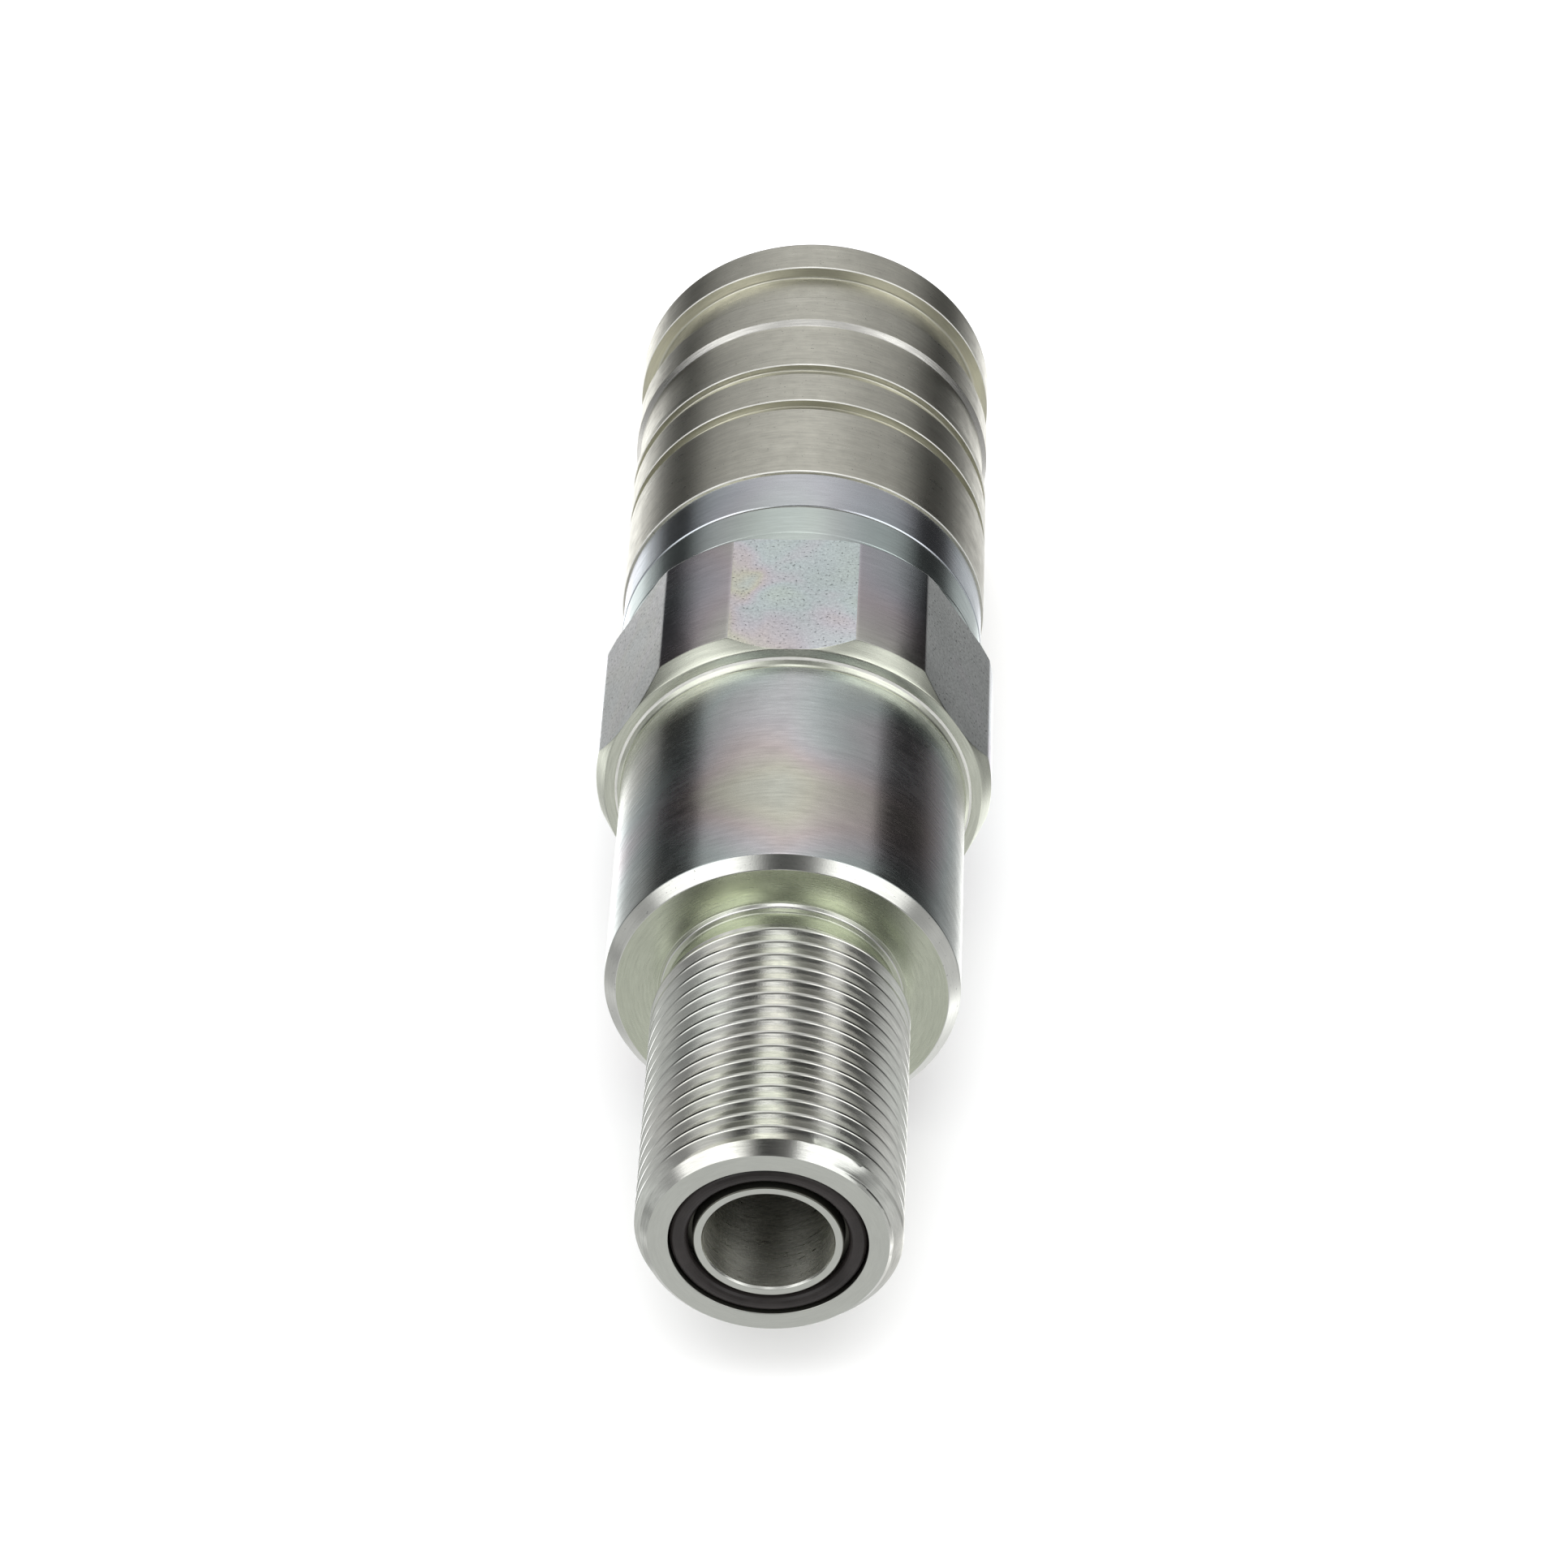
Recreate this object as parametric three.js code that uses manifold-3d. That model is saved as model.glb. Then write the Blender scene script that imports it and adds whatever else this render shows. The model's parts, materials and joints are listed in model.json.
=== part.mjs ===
// Quick disconnect coupler: a female, ball-locking hydraulic coupler with a face-seal port.
// Sizes are in millimetres. The coupler's axis is Y: the threaded port end is at low Y and the
// mouth that takes the nipple is at high Y. Z points up through the middle of one hexagon flat.
// Stations, the second number of every [radius, station] pair, count from the port's front face.
// start and end are stations, and inner and outer are radii.

import * as THREE from 'three';
import { mergeVertices } from 'three/addons/utils/BufferGeometryUtils.js';
import Module from 'manifold-3d';

const wasm = await Module();
wasm.setup();

// ---------------------------------------------------------------- driving dimensions

const OVERALL_LENGTH = 134.2;
const SIDES = 32; // flat sides on every turned surface
const SLIDE_GAP = 0.2; // radial gap of a piece that slides
const FIT_GAP = 0.1; // radial gap of a piece that stays put
const SMALL_CHAMFER = 0.3;
const LARGE_CHAMFER = 0.5;
const OVERLAP = 1; // how far joined solids reach into each other, and cutters past what they cut

// Port body: thread, barrel, hexagon and rear ring
const FLOW_BORE = 6.15;
const THREAD = { crest: 12.65, root: 11.6, pitch: 25.4 / 14, end: 30.6, chamfer: 1.3 };
const CREST_SHARE = 0.166; // the flat crest's share of one pitch, and the flat root's
const THREAD_SIDES = 16;
const FACE_GROOVE = { inner: 7.07, outer: 9.4, depth: 1.9, noseRecess: 0.15 };
const NECK = { radius: 11.35, end: 33.7, rootStep: 0.5 };
const BARREL = { radius: 17.45, start: 34.2, chamfer: 1.2, end: 64.2, fillet: 0.7 };
const HEXAGON = { acrossFlats: 38.1, cornerRadius: 20.1, faceRadius: 19.1, end: 81.8 };
const HEXAGON_SLOPE = 1.7; // length of the hexagon's front chamfer for each millimetre of height
const REAR_RING = { radius: 18.65, end: 87.9, edge: 0.25 };
const PORT_CHAMBER = { radius: 9.2, start: 68.4, end: 76 };

// Stop collar, clamped between the port body and the coupler body
const COLLAR = { radius: 18.7, end: 93.3, edge: 0.2 };

// Coupler body: spigot, valve chamber, seat, nipple bore and ball holes
const SPIGOT = { radius: 12.6, start: 76.4 };
const BODY = { radius: 14, end: 133.6, bore: 10.3, chamber: 9.2, seat: 7.6 };
const LEAD_IN = { height: 1, length: 1.7 };
const SEAT = { start: 99.9, end: 103.4 };
const JOINT_GROOVE = { floor: 10.85, start: 83.2, end: 86.8 };
const NIPPLE_GROOVE = { floor: 12.25, start: 108, end: 111.6 };

// Seals: section is the radius of the round section, and the backups are flat rings
const FACE_SEAL = { section: 0.89, centre: 8.435, station: 0.95 };
const JOINT_SEAL = { section: 0.85, station: 84.15, backup: 1.4 };
const NIPPLE_SEAL = { section: 1, station: 109.1, backup: 1.2 };

// Locking sleeve, from its rear face to the mouth
const SLEEVE = { radius: 18.95, edge: 0.25 };
const REAR_GROOVE = { radius: 18.1, start: 103.95, end: 105.45 };
const FRONT_GROOVE = { radius: 18.2, start: 110.1, end: 111.65 };
const NAME_BAND = { radius: 18.5, start: 112.8, end: 119.15, slope: 0.75 };
const FINGER_GROOVE = { radius: 17.6, start: 123.76, end: 129.1, fillet: 0.8 };
const MOUTH_CHAMFER = { radius: 18.23, length: 0.85 };
const LOCK_LAND = { radius: 14.2, start: 124.6, edge: 0.4 };
const BALL_RELIEF = { radius: 15.45, start: 115.6 };
const SPRING_ROOM = 16.6; // radius inside the sleeve behind the ball relief

// Locking balls
const BALL = { radius: 2.38, count: 8, station: 125, orbit: 11.68 };
const BALL_HOLE = { radius: 2.56, lip: 2.2, lipEnd: 10.62, taperEnd: 11.25 }; // ends from the axis

// Springs, washers and retaining rings: floor is the ring groove's, gap is in degrees
const BODY_RING = { inner: 13.3, outer: 15.4, floor: 13.1, start: 113.7, thickness: 1.2, gap: 30 };
const SLEEVE_RING = { inner: 14.8, outer: 17.3, floor: 17.5, start: 94.6, thickness: 1.1, gap: 24 };
const GUIDE_RING = { inner: 8, outer: 9.85, floor: 10, start: 78.4, thickness: 1.1, gap: 40 };
const RING_CLEARANCE = 0.1; // each side of a retaining ring in its groove
const WASHER_THICKNESS = 1;
const SLEEVE_SPRING = { wire: 0.8, radius: 15.3, turns: 4.5 };
const POPPET_SPRING = { wire: 0.6, radius: 3.8, turns: 6 };
const END_COIL = { turns: 0.75, pitch: 2.1 }; // pitch in wire radii
const WIRE_SIDES = 6;
const STEPS_PER_TURN = 14;

// Poppet valve and its guide
const POPPET = { head: 8.8, rim: 95.6, rimLength: 1, stem: 2.6, stemEnd: 79, nose: 3.2, tip: 108 };
const POPPET_CHAMFER = 0.6;
const POPPET_SEAL_GROOVE = { inner: 7.75, outer: 8.5, start: 99.4 };
const SEAT_GAP = 0.15; // between the valve cone and its seat
const NOSE_RECESS = 0.4; // of the valve cone's front behind the seat's end
const GUIDE = { rim: 7.9, hub: 4.6, thickness: 3, spokes: 3, spokeWidth: 2.2, spokeRecess: 0.5 };

// Colours as the finished coupler shows them
const ZINC_PLATE = { color: 0xb4bab4, roughness: 0.34, metalness: 0.95 };
const SLEEVE_PLATE = { color: 0xb2b0a4, roughness: 0.38, metalness: 0.95 };
const COLLAR_PLATE = { color: 0xaaacb9, roughness: 0.34, metalness: 0.95 };
const VALVE_STEEL = { color: 0xa9a79c, roughness: 0.4, metalness: 0.9 };
const SPRING_STEEL = { color: 0x8c8f94, roughness: 0.35, metalness: 1 };
const BALL_STEEL = { color: 0xc9ccd0, roughness: 0.12, metalness: 1 };
const BLACK_RUBBER = { color: 0x2d2a2a, roughness: 0.5, metalness: 0 };
const BACKUP_PLASTIC = { color: 0xd8d4c6, roughness: 0.55, metalness: 0 };

const coupler = new THREE.Group();
coupler.position.y = -OVERALL_LENGTH / 2;

// ---------------------------------------------------------------- building helpers

// Adds one named piece of the coupler to the group.
function addPiece(name, geometry, finish) {
  const piece = new THREE.Mesh(geometry, new THREE.MeshStandardMaterial(finish));
  piece.name = name;
  coupler.add(piece);
  return piece;
}

// A ring turned about the Y axis from a closed outline of [radius, station] pairs.
function turned(outline) {
  const points = outline.map(([radius, station]) => new THREE.Vector2(radius, station));
  const shape = THREE.ShapeUtils.area(points) > 0 ? points : points.reverse();
  return new THREE.LatheGeometry([...shape, shape[0].clone()], SIDES);
}

// A turned bar or bore whose outline starts and ends on the axis.
function turnedSolid(outline, sides = SIDES) {
  const points = outline.map(([radius, station]) => new THREE.Vector2(radius, station));
  return new THREE.LatheGeometry(points, sides);
}

// Points of a round stretch of an outline, from one angle to another, in degrees.
function arc(radius, station, size, from, to, steps) {
  return Array.from({ length: steps + 1 }, (_, i) => {
    const angle = THREE.MathUtils.degToRad(from + ((to - from) * i) / steps);
    return [radius + size * Math.cos(angle), station + size * Math.sin(angle)];
  });
}

// A closed geometry as a solid that can be joined and cut. Points this close are one point.
const WELD = 1e-5;

function solid(geometry) {
  const bare = geometry.clone();
  bare.deleteAttribute('normal');
  bare.deleteAttribute('uv');
  const merged = mergeVertices(bare, WELD);
  return new wasm.Manifold(new wasm.Mesh({
    numProp: 3,
    vertProperties: new Float32Array(merged.attributes.position.array),
    triVerts: new Uint32Array(merged.index.array),
  }));
}

// The geometry of a joined or cut solid.
function geometryOf(body) {
  const mesh = body.getMesh();
  const geometry = new THREE.BufferGeometry();
  geometry.setAttribute('position', new THREE.BufferAttribute(mesh.vertProperties, 3));
  geometry.setIndex(new THREE.BufferAttribute(mesh.triVerts, 1));
  geometry.computeVertexNormals();
  return geometry;
}

// A washer or other plain ring with flat faces.
function flatRing(inner, outer, start, thickness) {
  const end = start + thickness;
  return turned([[inner, start], [outer, start], [outer, end], [inner, end]]);
}

// An O-ring of round section, here a hexagon.
function roundSeal(radius, { section, station }) {
  return turned(arc(radius, station, section, 0, 300, 5));
}

// A retaining ring: a flat ring with a gap between its ends, so it can be sprung into a groove.
function retainingRing({ inner, outer, start, thickness, gap }) {
  const half = THREE.MathUtils.degToRad(gap / 2);
  const outline = new THREE.Shape();
  outline.absarc(0, 0, outer, half, 2 * Math.PI - half, false);
  outline.absarc(0, 0, inner, 2 * Math.PI - half, half, true);
  const ring = new THREE.ExtrudeGeometry(outline, {
    depth: thickness, bevelEnabled: false, curveSegments: SIDES / 2,
  });
  return ring.rotateX(-Math.PI / 2).translate(0, start, 0);
}

// The centre line of a compression spring whose end coils lie flat against their seats.
class SpringLine extends THREE.Curve {
  constructor(radius, wire, turns, start, end) {
    super();
    Object.assign(this, { radius, wire, turns, start, end });
  }

  getPoint(t, target = new THREE.Vector3()) {
    const turn = t * this.turns;
    const endTurn = END_COIL.turns;
    const endRise = END_COIL.pitch * this.wire * endTurn;
    const low = this.start + this.wire;
    const high = this.end - this.wire;
    const openRise = high - low - 2 * endRise;
    const openTurns = this.turns - 2 * endTurn;
    const flatPart = Math.min(turn, endTurn) + Math.max(turn - (this.turns - endTurn), 0);
    const openPart = THREE.MathUtils.clamp(turn - endTurn, 0, openTurns);
    const height = low + (endRise * flatPart) / endTurn + (openRise * openPart) / openTurns;
    const angle = 2 * Math.PI * turn;
    return target.set(this.radius * Math.sin(angle), height, this.radius * Math.cos(angle));
  }
}

// A coil spring of round wire standing between two stations.
function coilSpring({ wire, radius, turns }, start, end) {
  const section = new THREE.Shape();
  for (let i = 0; i < WIRE_SIDES; i += 1) {
    const angle = (2 * Math.PI * i) / WIRE_SIDES;
    const x = wire * Math.cos(angle);
    const y = wire * Math.sin(angle);
    if (i === 0) section.moveTo(x, y);
    else section.lineTo(x, y);
  }
  section.closePath();
  return new THREE.ExtrudeGeometry(section, {
    steps: Math.round(turns * STEPS_PER_TURN),
    bevelEnabled: false,
    extrudePath: new SpringLine(radius, wire, turns, start, end),
  });
}

// ---------------------------------------------------------------- port body

// A rod with a helical ridge: rows of points follow the thread and a fan closes each end.
function threadedRod({ crest, root, pitch, end }) {
  const start = -2 * pitch;
  const turns = Math.ceil((end - start) / pitch) + 2;
  const ridge = [[root, 0], [crest, 0.5 - CREST_SHARE], [crest, 0.5], [root, 1 - CREST_SHARE]];
  const rows = turns * ridge.length;
  const across = THREAD_SIDES + 1;
  const positions = [];
  const indices = [];
  for (let row = 0; row <= rows; row += 1) {
    const [radius, rise] = ridge[row % ridge.length];
    for (let side = 0; side <= THREAD_SIDES; side += 1) {
      const turn = side / THREAD_SIDES;
      const angle = 2 * Math.PI * (turn % 1);
      const station = start + pitch * (Math.floor(row / ridge.length) + rise + turn);
      positions.push(radius * Math.sin(angle), station, radius * Math.cos(angle));
    }
  }
  for (let row = 0; row < rows; row += 1) {
    for (let side = 0; side < THREAD_SIDES; side += 1) {
      const corner = row * across + side;
      indices.push(corner, corner + 1, corner + across);
      indices.push(corner + 1, corner + across + 1, corner + across);
    }
  }
  const lowEdge = [];
  const highEdge = [];
  for (let side = 0; side <= THREAD_SIDES; side += 1) {
    lowEdge.push(side);
    highEdge.push(rows * across + side);
  }
  for (let step = 1; step < ridge.length; step += 1) {
    lowEdge.push((ridge.length - step) * across);
    highEdge.push((rows - step) * across + THREAD_SIDES);
  }
  const lowTip = positions.length / 3;
  const highTip = lowTip + 1;
  positions.push(0, start - pitch, 0, 0, start + pitch * (turns + 2), 0);
  lowEdge.forEach((point, i) => indices.push(lowTip, lowEdge[(i + 1) % lowEdge.length], point));
  highEdge.forEach((point, i) => indices.push(highTip, point, highEdge[(i + 1) % highEdge.length]));
  const rod = new THREE.BufferGeometry();
  rod.setAttribute('position', new THREE.Float32BufferAttribute(positions, 3));
  rod.setIndex(indices);
  return rod;
}

// The external thread, with its chamfered start and its run-out into the neck.
function portThread() {
  const faceRadius = THREAD.crest - THREAD.chamfer;
  const runOut = THREAD.end + (THREAD.crest - NECK.radius) / 2;
  const envelope = turnedSolid([
    [0, 0], [faceRadius, 0], [THREAD.crest, THREAD.chamfer],
    [THREAD.crest, THREAD.end], [NECK.radius, runOut], [0, runOut],
  ]);
  return solid(threadedRod(THREAD)).intersect(solid(envelope));
}

// The hexagon between chamfers that take its corners down to a round.
function portHexagon() {
  const { acrossFlats, cornerRadius, faceRadius, end } = HEXAGON;
  const length = end - BARREL.end;
  const corner = acrossFlats / 2 / Math.cos(Math.PI / 6);
  const prism = new THREE.CylinderGeometry(corner, corner, length, 6, 1, false, Math.PI / 6);
  prism.translate(0, BARREL.end + length / 2, 0);
  const envelope = turnedSolid([
    [0, BARREL.end], [faceRadius, BARREL.end],
    [cornerRadius, BARREL.end + HEXAGON_SLOPE * (cornerRadius - faceRadius)],
    [cornerRadius, end - LARGE_CHAMFER], [cornerRadius - LARGE_CHAMFER, end], [0, end],
  ]);
  return solid(prism).intersect(solid(envelope));
}

function portBody() {
  const inThread = THREAD.end - THREAD.pitch;
  const inHexagon = HEXAGON.end - OVERLAP;
  const ringEdge = REAR_RING.end - REAR_RING.edge;
  const core = turnedSolid([
    [0, inThread], [NECK.radius, inThread], [NECK.radius, NECK.end],
    [NECK.radius + NECK.rootStep, BARREL.start], [BARREL.radius - BARREL.chamfer, BARREL.start],
    [BARREL.radius, BARREL.start + BARREL.chamfer],
    ...arc(BARREL.radius + BARREL.fillet, BARREL.end - BARREL.fillet, BARREL.fillet, 180, 90, 2),
    [BARREL.radius + BARREL.fillet, inHexagon], [REAR_RING.radius, inHexagon],
    [REAR_RING.radius, ringEdge], [REAR_RING.radius - REAR_RING.edge, REAR_RING.end],
    [0, REAR_RING.end],
  ]);
  const spigotBore = SPIGOT.radius + FIT_GAP;
  const bore = turnedSolid([
    [0, -OVERLAP], [FLOW_BORE + SMALL_CHAMFER, -OVERLAP],
    [FLOW_BORE + SMALL_CHAMFER, FACE_GROOVE.noseRecess],
    [FLOW_BORE, FACE_GROOVE.noseRecess + SMALL_CHAMFER],
    [FLOW_BORE, PORT_CHAMBER.start - PORT_CHAMBER.radius + FLOW_BORE],
    [PORT_CHAMBER.radius, PORT_CHAMBER.start], [PORT_CHAMBER.radius, PORT_CHAMBER.end],
    [spigotBore, PORT_CHAMBER.end], [spigotBore, REAR_RING.end + OVERLAP],
    [0, REAR_RING.end + OVERLAP],
  ]);
  const faceGroove = turnedSolid([
    [0, -OVERLAP], [FACE_GROOVE.outer, -OVERLAP], [FACE_GROOVE.outer, FACE_GROOVE.depth],
    [FACE_GROOVE.inner, FACE_GROOVE.depth], [FACE_GROOVE.inner, FACE_GROOVE.noseRecess],
    [0, FACE_GROOVE.noseRecess],
  ]);
  const blank = solid(core).add(portThread()).add(portHexagon());
  return geometryOf(blank.subtract(solid(faceGroove)).subtract(solid(bore)));
}

addPiece('port_body', portBody(), ZINC_PLATE);

addPiece('face_seal', roundSeal(FACE_SEAL.centre, FACE_SEAL), BLACK_RUBBER);

addPiece('stop_collar', turned([
  [SPIGOT.radius + FIT_GAP, REAR_RING.end], [COLLAR.radius - COLLAR.edge, REAR_RING.end],
  [COLLAR.radius, REAR_RING.end + COLLAR.edge], [COLLAR.radius, COLLAR.end - COLLAR.edge],
  [COLLAR.radius - COLLAR.edge, COLLAR.end], [SPIGOT.radius + FIT_GAP, COLLAR.end],
]), COLLAR_PLATE);

// ---------------------------------------------------------------- coupler body and its seals

// The axis of each locking ball's hole, as an angle about Y from the top.
function ballAngle(index) {
  return (2 * Math.PI * index) / BALL.count;
}

// The tapered hole of one ball: its lip lets the ball reach into the bore but not fall through.
function ballHole(index) {
  const inside = BODY.bore - OVERLAP;
  const outside = BODY.radius + OVERLAP;
  const cutter = turnedSolid([
    [0, inside], [BALL_HOLE.lip, inside], [BALL_HOLE.lip, BALL_HOLE.lipEnd],
    [BALL_HOLE.radius, BALL_HOLE.taperEnd], [BALL_HOLE.radius, outside], [0, outside],
  ], SIDES / 2);
  return solid(cutter.rotateX(Math.PI / 2).rotateY(ballAngle(index)).translate(0, BALL.station, 0));
}

// The groove that holds a retaining ring, as the two stations of its walls.
function ringGroove({ start, thickness }) {
  return [start - RING_CLEARANCE, start + thickness + RING_CLEARANCE];
}

function couplerBody() {
  const [outerLow, outerHigh] = ringGroove(BODY_RING);
  const [innerLow, innerHigh] = ringGroove(GUIDE_RING);
  const tube = turned([
    [BODY.chamber, SPIGOT.start], [SPIGOT.radius - SMALL_CHAMFER, SPIGOT.start],
    [SPIGOT.radius, SPIGOT.start + SMALL_CHAMFER], [SPIGOT.radius, JOINT_GROOVE.start],
    [JOINT_GROOVE.floor, JOINT_GROOVE.start], [JOINT_GROOVE.floor, JOINT_GROOVE.end],
    [SPIGOT.radius, JOINT_GROOVE.end], [SPIGOT.radius, COLLAR.end],
    [BODY.radius, COLLAR.end], [BODY.radius, outerLow], [BODY_RING.floor, outerLow],
    [BODY_RING.floor, outerHigh], [BODY.radius, outerHigh],
    [BODY.radius, BODY.end - LARGE_CHAMFER], [BODY.radius - LARGE_CHAMFER, BODY.end],
    [BODY.bore + LEAD_IN.height, BODY.end], [BODY.bore, BODY.end - LEAD_IN.length],
    [BODY.bore, NIPPLE_GROOVE.end],
    [NIPPLE_GROOVE.floor, NIPPLE_GROOVE.end], [NIPPLE_GROOVE.floor, NIPPLE_GROOVE.start],
    [BODY.bore, NIPPLE_GROOVE.start], [BODY.bore, SEAT.end], [BODY.seat, SEAT.end],
    [BODY.seat, SEAT.start + BODY.chamber - BODY.seat], [BODY.chamber, SEAT.start],
    [BODY.chamber, innerHigh], [GUIDE_RING.floor, innerHigh], [GUIDE_RING.floor, innerLow],
    [BODY.chamber, innerLow],
  ]);
  let body = solid(tube);
  for (let index = 0; index < BALL.count; index += 1) {
    body = body.subtract(ballHole(index));
  }
  return geometryOf(body);
}

addPiece('coupler_body', couplerBody(), VALVE_STEEL);

// A flat backup ring that stands against the mouth-side wall of its seal's groove.
function backupRing(inner, outer, groove, thickness) {
  return flatRing(inner, outer, groove.end - FIT_GAP - thickness, thickness);
}

const jointCentre = (JOINT_GROOVE.floor + SPIGOT.radius + FIT_GAP) / 2;
const nippleCentre = NIPPLE_GROOVE.floor - NIPPLE_SEAL.section - FIT_GAP;
const jointBackup = [JOINT_GROOVE.floor + FIT_GAP, SPIGOT.radius];
const nippleBackup = [BODY.bore + FIT_GAP, NIPPLE_GROOVE.floor - FIT_GAP];
addPiece('joint_seal', roundSeal(jointCentre, JOINT_SEAL), BLACK_RUBBER);
addPiece(
  'joint_backup_ring',
  backupRing(...jointBackup, JOINT_GROOVE, JOINT_SEAL.backup),
  BACKUP_PLASTIC,
);
addPiece('nipple_seal', roundSeal(nippleCentre, NIPPLE_SEAL), BLACK_RUBBER);
addPiece(
  'nipple_backup_ring',
  backupRing(...nippleBackup, NIPPLE_GROOVE, NIPPLE_SEAL.backup),
  BACKUP_PLASTIC,
);

// ---------------------------------------------------------------- locking sleeve

function lockingSleeve() {
  const { radius, edge } = SLEEVE;
  const start = COLLAR.end;
  const [ringLow, ringHigh] = ringGroove(SLEEVE_RING);
  const reliefEnd = LOCK_LAND.start - (BALL_RELIEF.radius - LOCK_LAND.radius);
  const { fillet } = FINGER_GROOVE;
  const fingerCorner = arc(
    FINGER_GROOVE.radius + fillet, FINGER_GROOVE.end - fillet, fillet, 180, 90, 2,
  );
  return turned([
    [SPRING_ROOM, start], [radius - edge, start], [radius, start + edge],
    [radius, REAR_GROOVE.start], [REAR_GROOVE.radius, REAR_GROOVE.start],
    [REAR_GROOVE.radius, REAR_GROOVE.end], [radius, REAR_GROOVE.end],
    [radius, FRONT_GROOVE.start], [FRONT_GROOVE.radius, FRONT_GROOVE.start],
    [FRONT_GROOVE.radius, FRONT_GROOVE.end], [radius, FRONT_GROOVE.end],
    [radius, NAME_BAND.start], [NAME_BAND.radius, NAME_BAND.start],
    [NAME_BAND.radius, NAME_BAND.end], [radius, NAME_BAND.end + NAME_BAND.slope],
    [radius, FINGER_GROOVE.start], [FINGER_GROOVE.radius, FINGER_GROOVE.start],
    ...fingerCorner, [radius, FINGER_GROOVE.end],
    [radius, OVERALL_LENGTH - MOUTH_CHAMFER.length], [MOUTH_CHAMFER.radius, OVERALL_LENGTH],
    [LOCK_LAND.radius + LOCK_LAND.edge, OVERALL_LENGTH],
    [LOCK_LAND.radius, OVERALL_LENGTH - LOCK_LAND.edge],
    [LOCK_LAND.radius, LOCK_LAND.start], [BALL_RELIEF.radius, reliefEnd],
    [BALL_RELIEF.radius, BALL_RELIEF.start], [SPRING_ROOM, BALL_RELIEF.start],
    [SPRING_ROOM, ringHigh], [SLEEVE_RING.floor, ringHigh], [SLEEVE_RING.floor, ringLow],
    [SPRING_ROOM, ringLow],
  ]);
}

addPiece('locking_sleeve', lockingSleeve(), SLEEVE_PLATE);

const ballGeometry = new THREE.IcosahedronGeometry(BALL.radius, 1);
for (let index = 0; index < BALL.count; index += 1) {
  const ball = addPiece(`lock_ball_${index + 1}`, ballGeometry.clone(), BALL_STEEL);
  const angle = ballAngle(index);
  ball.position.set(BALL.orbit * Math.sin(angle), BALL.station, BALL.orbit * Math.cos(angle));
}

// ---------------------------------------------------------------- sleeve spring and its stops

const rearWasherStart = SLEEVE_RING.start + SLEEVE_RING.thickness;
const frontWasherStart = BODY_RING.start - WASHER_THICKNESS;
const washerInner = BODY.radius + SLIDE_GAP;
const washerOuter = SPRING_ROOM - SLIDE_GAP;

addPiece('sleeve_retaining_ring', retainingRing(SLEEVE_RING), SPRING_STEEL);
addPiece(
  'sleeve_spring_washer',
  flatRing(washerInner, washerOuter, rearWasherStart, WASHER_THICKNESS),
  SPRING_STEEL,
);
addPiece(
  'sleeve_spring',
  coilSpring(SLEEVE_SPRING, rearWasherStart + WASHER_THICKNESS, frontWasherStart),
  SPRING_STEEL,
);
addPiece(
  'body_spring_washer',
  flatRing(washerInner, washerOuter, frontWasherStart, WASHER_THICKNESS),
  SPRING_STEEL,
);
addPiece('body_retaining_ring', retainingRing(BODY_RING), SPRING_STEEL);

// ---------------------------------------------------------------- poppet valve

// Station of a point of the valve cone, held a small gap behind the seat.
function coneStation(radius) {
  return SEAT.start + BODY.chamber - SEAT_GAP * Math.SQRT2 - radius;
}

function poppet() {
  const { head, rim, rimLength, stem, stemEnd, nose, tip } = POPPET;
  const { inner, outer, start } = POPPET_SEAL_GROOVE;
  const coneEnd = BODY.seat - SLIDE_GAP;
  const noseStart = SEAT.end - NOSE_RECESS;
  return turnedSolid([
    [0, stemEnd], [stem - SMALL_CHAMFER, stemEnd], [stem, stemEnd + SMALL_CHAMFER],
    [stem, rim - rimLength], [head - POPPET_CHAMFER, rim - rimLength], [head, rim],
    [head, coneStation(head)], [outer, coneStation(outer)], [outer, start], [inner, start],
    [inner, coneStation(inner)], [coneEnd, coneStation(coneEnd)], [coneEnd, noseStart],
    [coneEnd - POPPET_CHAMFER, noseStart + POPPET_CHAMFER], [nose, noseStart + POPPET_CHAMFER],
    [nose, tip - POPPET_CHAMFER], [nose - POPPET_CHAMFER, tip], [0, tip],
  ]);
}

addPiece('poppet', poppet(), VALVE_STEEL);

function poppetSeal() {
  const inner = POPPET_SEAL_GROOVE.inner + FIT_GAP;
  const outer = POPPET_SEAL_GROOVE.outer - FIT_GAP / 2;
  const start = POPPET_SEAL_GROOVE.start + FIT_GAP;
  const crown = coneStation(inner + FIT_GAP);
  return turned([
    [inner, start], [outer, start], [outer, coneStation(outer)],
    [inner + FIT_GAP, crown], [inner, crown],
  ]);
}

addPiece('poppet_seal', poppetSeal(), BLACK_RUBBER);

const guideStart = GUIDE_RING.start + GUIDE_RING.thickness;
const guideEnd = guideStart + GUIDE.thickness;

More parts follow.
